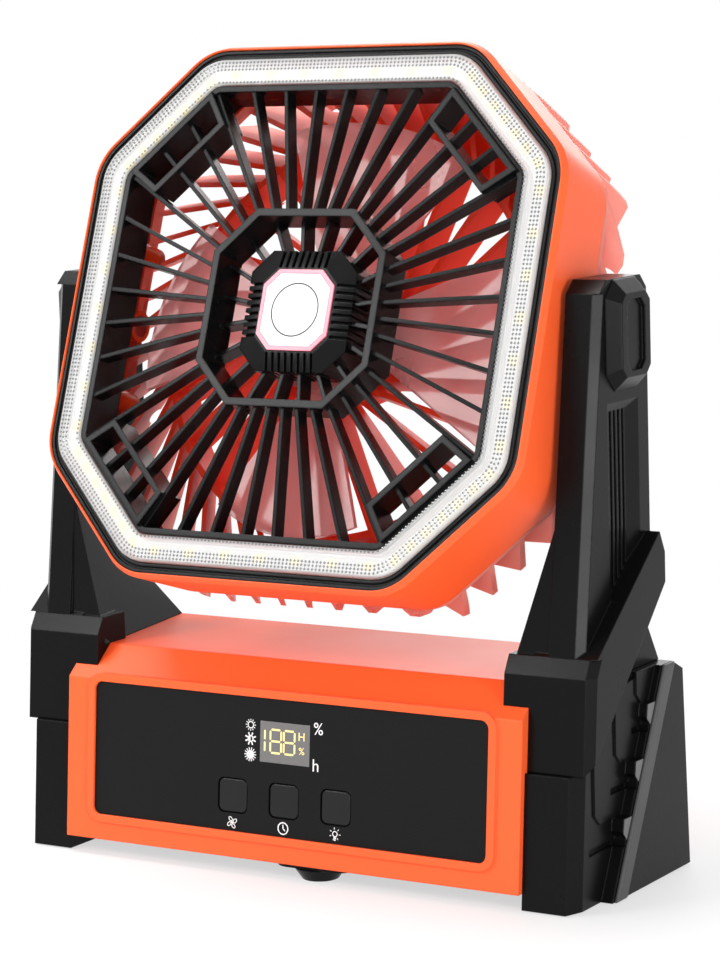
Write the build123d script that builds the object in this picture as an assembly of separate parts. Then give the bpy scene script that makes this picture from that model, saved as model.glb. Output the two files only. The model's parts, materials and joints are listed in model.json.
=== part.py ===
from build123d import *
import math
import os

# A tabletop camping fan with a ring light. Lengths are in millimetres and angles in degrees.
# The front faces -Y, Z is up, and the origin is on the floor under the middle of the outline.

# Fits
fit = 0.05  # side clearance of a seated piece, and of a screw in its hole
running = 0.05  # radial clearance of a turning shaft in its bush
clear = 0.4  # clearance round a piece that moves past another

# Base housing
base_width = 188.5
base_depth = 82.0
base_height = 69.0
base_lift = 6.0  # floor to the underside of the housing
base_middle = -3.0  # Y of the middle of the footprint
base_wall = 3.0
base_floor_thickness = 2.5
face_height = 58.5  # height of the leaning control face
face_lean = 5.4
rear_lean = 3.0
band_run = 12.8  # depth of the slanted band above the control face
ear_width = 9.6  # part of the face that runs on under each arm block
ear_height = 62.2  # underside of the housing to the arm block's ledge
notch_depth = 22.0
base_post_radius = 4.0
base_post_inset = 15.0

# Control face
fascia_width = 163.8
fascia_height = 48.4
fascia_rise = 33.6  # bottom of the face to the middle of the fascia, along the face
fascia_corner = 3.0
fascia_thickness = 1.6
rim_width = 3.0
rim_proud = 1.0
window_width = 20.8
window_height = 14.6
window_rise = 42.4
key_pitch = 21.5
key_rise = 22.0
key_well = 12.6
key_corner = 2.6
key_travel = 0.6
key_recess = 0.2
key_edge = 0.5
key_cap_thickness = 3.0
key_flange = 0.8  # ledge behind the fascia that keeps a key in
key_flange_thickness = 1.0
key_stem_radius = 2.0
board_width = 72.0
board_height = 46.0
board_thickness = 1.6
board_depth = 7.6  # face to the front of the board
board_margin = 4.0  # board edge to its screws
switch_size = 6.0
switch_height = 2.0
plunger_radius = 1.7
plunger_height = 0.8
opening_margin = 2.5  # round the controls, in the housing behind the fascia

# Battery and charging
cell_radius = 9.2
cell_length = 65.2
cell_row_pitch = 20.0
cell_rows_middle = -7.0
holder_floor = 2.0
holder_height = 12.0
holder_wall = 2.4
contact_thickness = 0.4
contact_size = 9.0
power_board_width = 60.0
power_board_depth = 12.0
power_board_lift = 9.0
inlet_width = 9.0
inlet_height = 3.2
inlet_wall = 0.4
inlet_depth = 6.3
inlet_tongue = 0.7
inlet_proud = 0.6  # inlet mouth behind the outside of the rear wall

# Screws
screw_radius = 1.5
screw_head_radius = 2.8
screw_head_height = 1.8
screw_length = 12.0
small_screw_radius = 1.0
small_screw_head_radius = 1.8
small_screw_head_height = 1.2
small_screw_length = 5.0

# End caps
cap_width = 19.3
cap_lift = 0.5  # underside of the cap above the floor, where the pads hold it
cap_setback = 2.5  # cap front behind the control face
cap_corner_side = 2.7  # chamfer of the cap's front corner, across
cap_corner_depth = 7.0  # and front to back
cap_wall = 3.5
cap_rear_height = 71.0
cap_boss_radius = 4.0
cap_boss_inset = 17.0  # front and rear end cap screws from the housing's front and rear
cap_boss_rise = 12.0  # lower end cap screws above the housing's underside
cap_boss_drop = 14.0  # upper end cap screw below the housing's top
cap_boss_shift = 12.0  # upper end cap screw behind the middle
wedge_proud = 4.5
rail_proud = 1.5
rail_width = 7.5
rail_ledge = 1.2
rail_bottom = -17.0  # Y of the rail's middle line at the floor
rail_top = 22.5  # Y of the rail's middle line at the cap's top
rail_bevel = 0.6
scale_count = 3
scale_edge = 3.5  # Y of the top scale's front edge
scale_foot = 67.0  # Z where the top scale's front edge ends
scale_step_back = 14.7
scale_step_down = 18.0
scale_rise = 0.7
scale_point = 3.4
facet_width = 6.0
facet_height = 7.5
facet_proud = 4.5
slot_length = 7.0
slot_growth = 5.5  # how much longer each lower slot is
slot_height = 2.2
slot_depth = 1.2
pad_width = 12.0
pad_length = 18.0
pad_thickness = 1.7

# Front foot
front_foot_x = 9.5
front_foot_inset = 10.0  # foot middle behind the housing's front
front_foot_radius = 9.5
front_foot_tip_radius = 6.5
front_foot_plate_width = 32.0
front_foot_plate_depth = 16.0
front_foot_plate_thickness = 1.6

# Head
head_tilt = 20.5
tilt_axis_y = 3.0
tilt_axis_height = 113.5  # above the flat top of the base
trim_half = 96.0
corner_leg = 41.0  # leg of each corner cut of the lens trim
corner_radius = 20.0
shell_lip = 1.8  # shell outside the trim
shell_wall = 2.6
shell_front = 29.0  # tilt axis to the front lip
shell_rear = 6.0  # tilt axis to the rear edge
shell_bevel = 2.5  # bevel of the front lip, front to back
shell_bevel_side = 1.3
shell_draft = 1.8  # how much narrower the shell is at its rear edge
seat_front = 24.5  # face that carries the lens, the trim and the light board
seat_thickness = 2.5
shell_boss_radius = 4.0
shell_boss_spread = 28.0
tilt_boss_radius = 5.8
tilt_boss_length = 9.0

# Ring light
trim_width = 3.8
trim_proud = 3.7  # trim front above its seat
trim_groove_width = 0.9
trim_groove_depth = 0.7
lens_proud = 6.0  # lens front above its seat
lens_thickness = 1.6
lens_leg = 1.2
lens_edge = 1.2
light_board_thickness = 1.2
chip_length = 3.5
chip_width = 2.8
chip_height = 0.7
chips_per_side = 7

# Front grille
grille_half = 82.2
grille_wall = 2.2
grille_front = 29.5
grille_rear = 13.0
grille_flange = 4.4
grille_flange_thickness = 2.0
rib_count = 40
rib_thickness = 1.5
rib_depth = 5.6
rib_front = 30.2  # rib edge at the frame, proud of it
tray_depth = 14.5
tray_length = 42.0
tray_taper = 3.0
tray_wall = 2.2
tray_front = 30.8
tray_rear = 18.5
ring_half = 35.5
ring_leg = 15.5
ring_width = 2.7
ring_front = 33.1
ring_rear = 18.5
spoke_count = 20
spoke_front = 25.5
hub_half = 21.8
hub_leg = 7.8
hub_shoulder = 27.4
hub_front = 29.0
hub_rear = 14.5
hub_bevel = 7.2
hub_grooves_per_side = 8
hub_groove_pitch = 2.65
hub_groove_width = 1.1
hub_groove_depth = 1.5
hub_rim = 0.7  # between the badge and the grooves
badge_depth = 1.0
badge_proud = 0.6
badge_border = 1.5
badge_leg = 5.6

# Rear guard
guard_rim = 4.6
guard_rim_thickness = 2.5
guard_ring_inset = 3.0  # guard ring in front of the guard's back
fin_depth = 19.0
fin_thickness = 2.0
fin_count = 48
fin_sweep = 36.0  # fin to the radius at the rim
fin_slant = 25.0
guard_ring_radius = 75.0
guard_ring_width = 2.4
inner_fin_count = 24
inner_fin_offset = 15.0
inner_fin_depth = 14.0
cup_wall = 2.6

# Motor and impeller
motor_radius = 18.3
motor_wall = 1.2
motor_length = 16.0
bush_radius = 4.0
bush_length = 3.0
shaft_radius = 2.0
rotor_radius = 12.0
rotor_length = 7.0
magnet_thickness = 3.4
magnet_span = 130.0
impeller_hub_radius = 24.0
impeller_hub_front = 11.0
impeller_hub_rear = -3.5
impeller_wall = 2.0
impeller_collar_radius = 5.5
impeller_cap_thickness = 1.6
blade_count = 4
blade_first = -6.0
blade_half_span = 26.5
blade_tip_radius = 76.0
blade_middle_radius = 50.0
blade_overrun = 10.0  # how far a blade is drawn past its round tip
blade_thickness = 1.8
blade_rise = 12.5
blade_middle = 3.0

# Arms
head_gap = 2.0
arm_thickness = 12.6
arm_height = 21.0  # tilt axis to the arm's top
arm_reach = 19.0  # tilt axis to the arm's rear edge
arm_front = 17.7  # tilt axis to the arm's front edge, level with the axis
arm_lean = 8.2
arm_wall = 3.0
arm_side_wall = 4.2  # outer wall, behind the grooved panel
arm_corner = 2.8
arm_top_chamfer = 4.5
arm_screw_front = 2.0  # screws into the end cap, in front of the tilt axis and behind it
arm_screw_rear = 16.0
arm_cover_thickness = 2.0
arm_cover_lap = 1.2
pocket_bottom = 130.0
block_setback = 4.1  # block front behind the control face
block_bottom = 46.5
block_shoulder = 79.0
block_chamfer = 3.6
block_chamfer_height = 6.1
block_corner_side = 2.6
block_corner_depth = 3.4
brace_proud = 5.6
brace_rear_bottom = 103.5
brace_rear_top = 114.0
brace_top = 121.5
gusset_inset = 10.3  # gusset's inner foot inside the end of the housing
gusset_front_top = 127.0
gusset_rear_top = 98.0
gusset_rear_head = 13.0  # Y of the gusset's rear edge at its top
gusset_rear_foot = 27.0  # Y of its rear edge at the end cap
gusset_rear_inner_foot = 34.0  # and over the housing
groove_count = 5
groove_width = 1.6
groove_pitch = 3.0
groove_depth = 1.2
groove_first = -6.5  # Y of the front groove
panel_top = 168.0
panel_bottom = 92.0
panel_depth = 1.5
panel_slope = 3.0  # height of the panel's slanted top
strip_width = 7.5  # slanted strip behind the grooves

# Tilt pivots
pin_radius = 4.0
pivot_bush_radius = 6.0
pivot_boss_radius = 9.0
washer_radius = 8.5
washer_play = 0.1
nut_radius = 5.8
nut_thickness = 2.0
pivot_cap_depth = 28.0
pivot_cap_height = 38.0
pivot_cap_proud = 4.8
pivot_cap_bevel = 3.65  # bevel of its front and rear sides
pivot_cap_slope = 5.0  # bevel of its top and bottom
pivot_cap_corner = 6.0
pivot_face_corner = 3.0
pivot_cap_shift = 2.0  # middle of the cap behind the tilt axis
pivot_cap_recess = 1.4
pivot_recess_width = 13.0
pivot_recess_height = 24.0

# Places that follow from the sizes
base_front = base_middle - base_depth / 2
base_rear = base_middle + base_depth / 2
base_top = base_lift + base_height
base_end = base_width / 2
face_top = base_lift + face_height
cap_side = base_end + cap_width
shell_half = trim_half + shell_lip
shell_rear_half = shell_half - shell_draft
tilt_axis_z = base_top + tilt_axis_height
arm_in = shell_half + head_gap
arm_out = arm_in + arm_thickness
brace_side = arm_out + brace_proud
arm_top = tilt_axis_z + arm_height
arm_rear = tilt_axis_y + arm_reach
lens_outer = trim_half - trim_width - 2 * fit
lens_inner = grille_half + clear
seat_rear = seat_front - seat_thickness
guard_back = -shell_rear - fin_depth
badge_half = hub_half - hub_bevel - fit

# Planes
face_tilt = math.radians(face_lean)
face_plane = Plane(
    origin=(0, base_front, base_lift),
    x_dir=(1, 0, 0),
    z_dir=(0, -math.cos(face_tilt), math.sin(face_tilt)),
)
head_angle = math.radians(head_tilt)
head_plane = Plane(
    origin=(0, tilt_axis_y, tilt_axis_z),
    x_dir=(1, 0, 0),
    z_dir=(0, -math.cos(head_angle), math.sin(head_angle)),
)


def lean_run(height, angle):
    """How far a wall that leans by an angle moves over a height."""
    return height * math.tan(math.radians(angle))


def slab(face, low, high):
    """A flat outline given thickness, from one height to another."""
    return Pos(0, 0, low) * extrude(face, high - low, dir=(0, 0, 1))


def rod(radius, low, high):
    """A round bar on the Z axis."""
    return Pos(0, 0, low) * Cylinder(radius, high - low, align=(Align.CENTER, Align.CENTER, Align.MIN))


def cross_rod(radius, low, high, y, z):
    """A round bar along X."""
    return Pos(low, y, z) * Rot(0, 90, 0) * rod(radius, 0, high - low)


def side_face(face, low, high):
    """A flat face of the side view given thickness along X."""
    return Pos(low, 0, 0) * extrude(Plane.YZ * face, high - low, dir=(1, 0, 0))


def side_slab(points, low, high):
    """An outline in the side view given thickness along X."""
    return side_face(Polygon(*points, align=None), low, high)


def block(low, high):
    """A box between two corners."""
    size = [high[i] - low[i] for i in range(3)]
    return Pos(*low) * Box(*size, align=(Align.MIN, Align.MIN, Align.MIN))


def left_of(shape):
    """The same piece on the other side of the fan."""
    return mirror(shape, about=Plane.YZ)


def both_sides(shapes):
    """A group of pieces on both sides of the fan."""
    return Compound(shapes + [left_of(shape) for shape in shapes])


def screw(radius, head_radius, head_height, length):
    """A pan head screw with its head below Z = 0 and its shank above."""
    return rod(head_radius, -head_height, 0) + rod(radius, 0, length)


def housing_screw():
    return screw(screw_radius, screw_head_radius, screw_head_height, screw_length)


def small_screw():
    return screw(small_screw_radius, small_screw_head_radius, small_screw_head_height, small_screw_length)


def corner_cut(front, side, leg_side, leg_depth, low, high):
    """Prism that takes off the upright corner between a leaning front and a side."""
    sections = []
    for z in (low, high):
        y = front(z)
        points = [
            (side - leg_side, y - 2, z),
            (side - leg_side, y, z),
            (side, y + leg_depth, z),
            (side + 2, y + leg_depth, z),
            (side + 2, y - 2, z),
        ]
        sections.append(make_face(Polyline(*points, close=True)))
    return loft(sections, ruled=True)


# Base housing


def face_y(z):
    """Y of the control face at a height."""
    return base_front + lean_run(z - base_lift, face_lean)


def base_outline(drop):
    """Side outline of the housing, its leaning walls run on below the underside by a drop."""
    bottom = base_lift - drop
    rear_top = base_rear - lean_run(base_height, rear_lean)
    points = [
        (face_y(bottom), bottom),
        (face_y(face_top), face_top),
        (face_y(face_top) + band_run, base_top),
        (rear_top, base_top),
        (base_rear + lean_run(drop, rear_lean), bottom),
    ]
    return Polygon(*points, align=None)


def base_room(inset):
    """Space inside the housing, open below, at a distance in from the outside."""
    outline = offset(base_outline(inset + base_lift), -inset, kind=Kind.INTERSECTION)
    return extrude(Plane.YZ * outline, base_end - inset, both=True)


def base_post_places():
    """X and Y of the posts that the floor plate is screwed to."""
    spread_x = base_end - base_post_inset
    front = base_front + base_post_inset
    rear = base_rear - base_post_inset / 2 - base_wall
    return [(x, y) for x in (-spread_x, spread_x) for y in (front, rear)]


def arm_ledge():
    """Room cut from the housing's upper front corner for the arm's block."""
    low = (base_end - ear_width - fit, base_front - 1, base_lift + ear_height - fit)
    high = (base_end + 1, face_y(base_lift + ear_height) + notch_depth + fit, base_top + 1)
    return block(low, high)


def on_face(shape, x, rise):
    """Place a shape on the control face, its Z pointing out of the face."""
    return face_plane * (Pos(x, rise, 0) * shape)


def control_opening():
    """Opening behind the fascia for the keys and the display."""
    width = 2 * key_pitch + key_well + 2 * opening_margin
    bottom = key_rise - key_well / 2 - opening_margin
    top = window_rise + window_height / 2 + opening_margin
    return on_face(slab(Rectangle(width, top - bottom), -2 * base_wall, 0), 0, (top + bottom) / 2)


def fascia_outline(grow):
    """Outline of the fascia, grown by a margin."""
    return RectangleRounded(fascia_width + 2 * grow, fascia_height + 2 * grow, fascia_corner + grow)


def board_post_places():
    """Places of the board's screws on the control face."""
    half_width = board_width / 2 - board_margin
    half_height = board_height / 2 - board_margin
    middle = (key_rise + window_rise) / 2
    return [(x, middle + y) for x in (-half_width, half_width) for y in (-half_height, half_height)]


def inlet_middle():
    """Z of the middle of the charging inlet."""
    return base_lift + base_floor_thickness + power_board_lift + board_thickness + inlet_height / 2


def inlet_hole(height_from, height_to):
    """Slot in the rear wall round the charging inlet."""
    mouth = RectangleRounded(inlet_width + 2 * fit, inlet_height + 2 * fit, inlet_height / 2)
    plane = Plane(origin=(0, 0, inlet_middle()), x_dir=(1, 0, 0), z_dir=(0, 1, 0))
    return plane * slab(mouth, height_from, height_to)


def cap_boss_places():
    """Y and Z of the screws that hold each end cap to the housing."""
    low = base_lift + cap_boss_rise
    upper = (base_middle + cap_boss_shift, base_top - cap_boss_drop)
    return [(base_front + cap_boss_inset, low), (base_rear - cap_boss_inset, low), upper]


def base_shell():
    outside = extrude(Plane.YZ * base_outline(0), base_end, both=True)
    shell = outside
    rim = fascia_outline(rim_width) - fascia_outline(fit)
    shell += on_face(slab(rim, -fascia_thickness, rim_proud), 0, fascia_rise)
    shell -= base_room(base_wall)
    posts = []
    for x, y in base_post_places():
        post = rod(base_post_radius, base_lift + base_floor_thickness, base_top)
        posts.append(Pos(x, y, 0) * post & outside)
    for x, rise in board_post_places():
        posts.append(on_face(rod(small_screw_head_radius + 1, -board_depth, -base_wall), x, rise))
    shell += posts
    for x, y in base_post_places():
        hole_top = base_lift + base_floor_thickness + screw_length
        shell -= Pos(x, y, 0) * rod(screw_radius + fit, base_lift, hole_top)
    for x, rise in board_post_places():
        hole_depth = small_screw_length - board_thickness
        shell -= on_face(rod(small_screw_radius + fit, -board_depth, -board_depth + hole_depth), x, rise)
    shell -= on_face(slab(fascia_outline(fit), -fascia_thickness, rim_proud + 1), 0, fascia_rise)
    shell -= control_opening()
    shell -= inlet_hole(base_rear - base_height / 2, base_rear + 1)
    ledge = arm_ledge()
    shell -= [ledge, left_of(ledge)]
    for y, z in cap_boss_places():
        hole = cross_rod(screw_radius + fit, base_end - 2 * base_wall, base_end + 1, y, z)
        shell -= [hole, left_of(hole)]
    return shell


def base_floor():
    room = base_room(base_wall + clear / 2)
    level = block((-base_end, base_front, base_lift), (base_end, base_rear, base_lift + base_floor_thickness))
    plate = room & level
    for x, y in base_post_places():
        plate -= Pos(x, y, 0) * rod(screw_radius + fit, 0, base_top)
        plate -= Pos(x, y, 0) * rod(screw_head_radius + fit, 0, base_lift + screw_head_height / 2)
    return plate


def base_screws():
    head_seat = base_lift + screw_head_height / 2
    return Compound([Pos(x, y, head_seat) * housing_screw() for x, y in base_post_places()])


# Controls


def key_places():
    """X of the three keys, from the left."""
    return [-key_pitch, 0, key_pitch]


def control_fascia():
    plate = on_face(slab(fascia_outline(0), -fascia_thickness, 0), 0, fascia_rise)
    plate -= on_face(slab(Rectangle(window_width, window_height), -2, 2), 0, window_rise)
    for x in key_places():
        plate -= on_face(slab(RectangleRounded(key_well, key_well, key_corner), -2, 2), x, key_rise)
    return plate


def display_window():
    pane = Rectangle(window_width - 2 * fit, window_height - 2 * fit)
    return on_face(slab(pane, -fascia_thickness, 0), 0, window_rise)


def display_module():
    body = Rectangle(window_width - 2, window_height - 2)
    return on_face(slab(body, -board_depth, -fascia_thickness - fit), 0, window_rise)


def key(x):
    side = key_well - 2 * clear
    cap = slab(RectangleRounded(side, side, key_corner - clear), -key_recess - key_cap_thickness, -key_recess)
    cap = fillet(cap.faces().sort_by(Axis.Z)[-1].edges(), key_edge)
    flange_front = -fascia_thickness - fit
    flange = RectangleRounded(key_well + 2 * key_flange, key_well + 2 * key_flange, key_corner + key_flange)
    cap += slab(flange, flange_front - key_flange_thickness, flange_front)
    stem_end = board_depth - switch_height - plunger_height - key_travel - fit
    return on_face(cap + rod(key_stem_radius, -stem_end, -key_recess - 1), x, key_rise)


def control_board():
    middle = (key_rise + window_rise) / 2
    board = slab(Rectangle(board_width, board_height), -board_depth - board_thickness, -board_depth)
    board = on_face(board, 0, middle)
    for x, rise in board_post_places():
        board -= on_face(rod(small_screw_radius + fit, -2 * board_depth, 0), x, rise)
    return board


def tact_switches():
    body = slab(Rectangle(switch_size, switch_size), -board_depth, -board_depth + switch_height)
    top = -board_depth + switch_height
    switch = body + rod(plunger_radius, top, top + plunger_height)
    return Compound([on_face(switch, x, key_rise) for x in key_places()])


def board_screws():
    seat = -board_depth - board_thickness
    return Compound([on_face(Pos(0, 0, seat) * small_screw(), x, rise) for x, rise in board_post_places()])


# Battery and charging

holder_bottom = base_lift + base_floor_thickness
cell_axis = holder_bottom + holder_floor + cell_radius + fit
cell_pocket = cell_length + 2 * contact_thickness + 4 * fit
cell_spread = (cell_pocket + holder_wall) / 2


def cell_places():
    """X and Y of the battery cells."""
    rows = (cell_rows_middle - cell_row_pitch / 2, cell_rows_middle + cell_row_pitch / 2)
    return [(x, y) for x in (-cell_spread, cell_spread) for y in rows]


def battery_holder():
    half_length = cell_pocket + holder_wall / 2 + holder_wall
    half_depth = cell_row_pitch / 2 + cell_radius + holder_wall
    low = (-half_length, cell_rows_middle - half_depth, holder_bottom)
    tray = block(low, (half_length, cell_rows_middle + half_depth, holder_bottom + holder_height))
    for x, y in cell_places():
        tray -= cross_rod(cell_radius + fit, x - cell_pocket / 2, x + cell_pocket / 2, y, cell_axis)
    return tray


def battery_cells():
    half = cell_length / 2
    return Compound([cross_rod(cell_radius, x - half, x + half, y, cell_axis) for x, y in cell_places()])


def battery_contacts():
    plates = []
    bottom = holder_bottom + holder_floor + 1
    for x, y in cell_places():
        for end in (-1, 1):
            middle = x + end * (cell_length / 2 + fit + contact_thickness / 2)
            low = (middle - contact_thickness / 2, y - contact_size / 2, cell_axis - contact_size / 2)
            high = (middle + contact_thickness / 2, y + contact_size / 2, cell_axis + contact_size / 2)
            plates.append(block((low[0], low[1], max(low[2], bottom)), high))
    return Compound(plates)


def power_board_rear():
    """Y of the rear edge of the power board, just inside the rear wall."""
    return base_rear - lean_run(inlet_middle() - base_lift, rear_lean) - base_wall - clear


def power_board():
    rear = power_board_rear()
    bottom = holder_bottom + power_board_lift
    half = power_board_width / 2
    board = block((-half, rear - power_board_depth, bottom), (half, rear, bottom + board_thickness))
    for x in (-half + board_margin, half - board_margin):
        board += Pos(x, rear - power_board_depth / 2, 0) * rod(board_margin / 2, holder_bottom, bottom)
    return board


def charge_inlet():
    mouth_y = power_board_rear() + clear + base_wall - inlet_proud
    plane = Plane(origin=(0, 0, inlet_middle()), x_dir=(1, 0, 0), z_dir=(0, 1, 0))
    outer = RectangleRounded(inlet_width, inlet_height, inlet_height / 2 - fit)
    hollow = offset(outer, -inlet_wall)
    body = slab(outer, mouth_y - inlet_width, mouth_y)
    body -= slab(hollow, mouth_y - inlet_depth, mouth_y + 1)
    tongue = Rectangle(inlet_depth, inlet_tongue)
    return plane * (body + slab(tongue, mouth_y - inlet_width, mouth_y - inlet_proud))


# End caps


def brace_edge(y):
    """Z of the slanted seat between an arm and its end cap."""
    tip_y = face_y(block_bottom) + block_setback
    slope = (brace_rear_bottom - block_bottom) / (arm_rear - tip_y)
    return block_bottom + slope * (y - tip_y)


def brace_edge_y(z):
    """Y of the slanted seat at a height."""
    tip_y = face_y(block_bottom) + block_setback
    slope = (brace_rear_bottom - block_bottom) / (arm_rear - tip_y)
    return tip_y + (z - block_bottom) / slope


def cap_front(z):
    return face_y(z) + cap_setback


def cap_outline():
    """Side outline of an end cap."""
    front_top_y = face_y(block_bottom) + block_setback
    rear_y = base_rear
    return [
        (cap_front(cap_lift), cap_lift),
        (cap_front(block_bottom), block_bottom),
        (front_top_y, block_bottom),
        (brace_edge_y(base_top), base_top),
        (rail_top + rail_width / 2, base_top),
        (rear_y - lean_run(cap_rear_height, rear_lean), cap_rear_height),
        (rear_y, cap_lift),
    ]


def rail_y(z):
    """Y of the rail's middle line at a height."""
    return rail_bottom + (rail_top - rail_bottom) * z / base_top


def pad_places():
    """Y of the rubber pads under an end cap."""
    return [cap_front(cap_lift) + pad_length, base_rear - pad_length]


def rail_outline():
    """The rail in the side view."""
    half = rail_width / 2
    top = base_top
    bottom = cap_lift
    return [
        (rail_y(bottom) - half, bottom),
        (rail_y(bottom) + half, bottom),
        (rail_y(top) + half, top),
        (rail_y(top) - half, top),
    ]


def scale_outline(index):
    """One of the stepped plates between the post and the rail."""
    edge = scale_edge - index * scale_step_back
    foot = scale_foot - index * scale_step_down
    point_z = foot - scale_point
    rail_edge = rail_y(foot) - rail_width / 2
    top = min(base_top, brace_edge(edge))
    return [
        (edge, foot),
        (edge + scale_point, point_z),
        (rail_edge + 1, point_z),
        (rail_y(base_top) - rail_width / 2, base_top),
        (max(edge, brace_edge_y(top)), top),
    ]


def facet_outline(index):
    """The small lit facet under a stepped plate, beside the rail."""
    top = scale_foot - index * scale_step_down - scale_point
    bottom = top - facet_height
    return [
        (rail_y(top) - rail_width / 2 - facet_width, top),
        (rail_y(top) - rail_width / 2 + 1, top),
        (rail_y(bottom) - rail_width / 2 + 1, bottom),
        (rail_y(bottom) - rail_width / 2 - facet_width / 2, bottom + facet_width / 2),
    ]


def slot_cut(index):
    """The dark slot under a facet, in the plate or the side below it."""
    surface = cap_side + (scale_count - 1 - index) * scale_rise
    top = scale_foot - index * scale_step_down - scale_point - facet_height
    end = rail_y(top) - rail_width / 2 - rail_ledge
    low = (surface - slot_depth, end - slot_length - index * slot_growth, top - slot_height)
    return block(low, (surface + facet_proud, end, top))


def end_cap():
    outline = cap_outline()
    cap = side_slab(outline, base_end, cap_side)
    cap -= corner_cut(cap_front, cap_side, cap_corner_side, cap_corner_depth, 0, block_bottom)
    inner = offset(Polygon(*outline, align=None), -cap_wall, kind=Kind.INTERSECTION)
    pocket = side_face(inner, base_end, cap_side - cap_wall)
    bosses = [cross_rod(cap_boss_radius, base_end, cap_side - cap_wall, y, z) for y, z in cap_boss_places()]
    cap = cap - pocket + [boss & pocket for boss in bosses]
    hole_end = base_end + screw_length - base_wall
    for y, z in cap_boss_places():
        cap -= cross_rod(screw_radius + fit, base_end, hole_end, y, z)
    wedge = [
        (rail_y(cap_lift) - rail_width / 2 - rail_ledge, cap_lift),
        (rail_y(base_top) - rail_width / 2 - rail_ledge, base_top),
        (rail_y(base_top) + rail_width / 2, base_top),
        (base_rear - lean_run(cap_rear_height, rear_lean), cap_rear_height),
        (base_rear, cap_lift),
    ]
    cap += side_slab(wedge, cap_side - 1, cap_side + wedge_proud)
    for index in range(scale_count):
        cap += side_slab(scale_outline(index), cap_side - 1, cap_side + (scale_count - index) * scale_rise)
        cap += side_slab(facet_outline(index), cap_side - 1, cap_side + facet_proud)
    for index in range(scale_count):
        cap -= slot_cut(index)
    for y in pad_places():
        cap -= pad_solid(y, fit)
    for y in arm_screw_places():
        cap -= Pos(arm_screw_x(), y, 0) * rod(screw_radius + fit, base_top - 2 * cap_wall, base_top + 1)
    return cap


def cap_screws():
    screw = Rot(0, 90, 0) * housing_screw()
    return both_sides([Pos(base_end - base_wall, y, z) * screw for y, z in cap_boss_places()])


def side_rail():
    rail = side_slab(rail_outline(), cap_side + wedge_proud, cap_side + wedge_proud + rail_proud)
    outer = rail.faces().sort_by(Axis.X)[-1]
    return chamfer(outer.edges(), rail_bevel)


def pad_solid(y, grow):
    """One rubber pad, grown by a margin for the seat that it fills."""
    middle_x = base_end + cap_width / 2
    half_x = pad_width / 2 + grow
    half_y = pad_length / 2 + grow
    return block((middle_x - half_x, y - half_y, 0), (middle_x + half_x, y + half_y, pad_thickness))


def foot_pads():
    return both_sides([pad_solid(y, 0) for y in pad_places()])


def front_foot():
    place = Pos(front_foot_x, base_front + front_foot_inset, 0)
    plate_low = base_lift - front_foot_plate_thickness
    cone = loft([Circle(front_foot_tip_radius), Pos(0, 0, plate_low) * Circle(front_foot_radius)])
    plate = RectangleRounded(front_foot_plate_width, front_foot_plate_depth, front_foot_plate_depth / 2 - 1)
    return place * (cone + slab(plate, plate_low, base_lift))


# Arms


def arm_front_y(z):
    """Y of the upper arm's front edge at a height."""
    return tilt_axis_y - arm_front + lean_run(z - tilt_axis_z, arm_lean)


def block_y(z):
    """Y of the arm block's front at a height."""
    return face_y(z) + block_setback


def block_top():
    """Y and Z of the top of the block's chamfer, where the upper arm begins."""
    return block_y(block_shoulder) + block_chamfer, block_shoulder + block_chamfer_height


def block_slope_y(z):
    """Y of the block's chamfer at a height."""
    share = (z - block_shoulder) / block_chamfer_height
    return block_y(block_shoulder) + share * block_chamfer


def upper_arm_outline():
    """Side outline of an upper arm, down to the level of its block."""
    cut = arm_top_chamfer
    low = block_top()[1]
    return [
        (arm_front_y(low), low),
        (arm_front_y(arm_top - cut), arm_top - cut),
        (arm_front_y(arm_top) + cut, arm_top),
        (arm_rear - cut, arm_top),
        (arm_rear, arm_top - cut),
        (arm_rear, brace_rear_bottom),
        (brace_edge_y(low), low),
    ]


def brace_outline():
    """Side outline of the arm's block and the brace that rises from it."""
    shoulder_y, shoulder_z = block_top()
    return [
        (block_y(block_bottom), block_bottom),
        (block_y(block_shoulder), block_shoulder),
        (shoulder_y, shoulder_z),
        (arm_rear - (brace_top - brace_rear_top) / 2, brace_top),
        (arm_rear, brace_rear_top),
        (arm_rear, brace_rear_bottom),
    ]


def upper_arm():
    """The arm above its block, with its web and the cut front corner."""
    body = side_slab(upper_arm_outline(), arm_in, arm_out) + gusset()
    low = block_top()[1]
    return body - corner_cut(arm_front_y, arm_out, arm_corner, arm_corner, low, arm_top - arm_top_chamfer)


def grooved_panel():
    """Recess in the arm's side, with upright grooves in its floor and a slanted strip behind them."""
    floor = arm_out - panel_depth
    front = groove_first - groove_pitch / 2
    strip_front = front + groove_count * groove_pitch
    strip_rear = strip_front + strip_width
    outline = [
        (floor, front),
        (arm_out + 1, front),
        (arm_out + 1, strip_rear),
        (arm_out, strip_rear),
        (floor, strip_front),
    ]
    panel = slab(Polygon(*outline, align=None), panel_bottom, panel_top)
    groove_top = panel_top - panel_slope
    slope = Polygon((floor, groove_top), (arm_out, panel_top), (floor, panel_top), align=None)
    panel -= Pos(0, front, 0) * extrude(Plane.XZ * slope, strip_rear - front, dir=(0, 1, 0))
    for index in range(groove_count):
        y = groove_first + index * groove_pitch
        low = (floor - groove_depth, y - groove_width / 2, panel_bottom)
        panel += block(low, (arm_out + 1, y + groove_width / 2, groove_top))
    return panel


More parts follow.
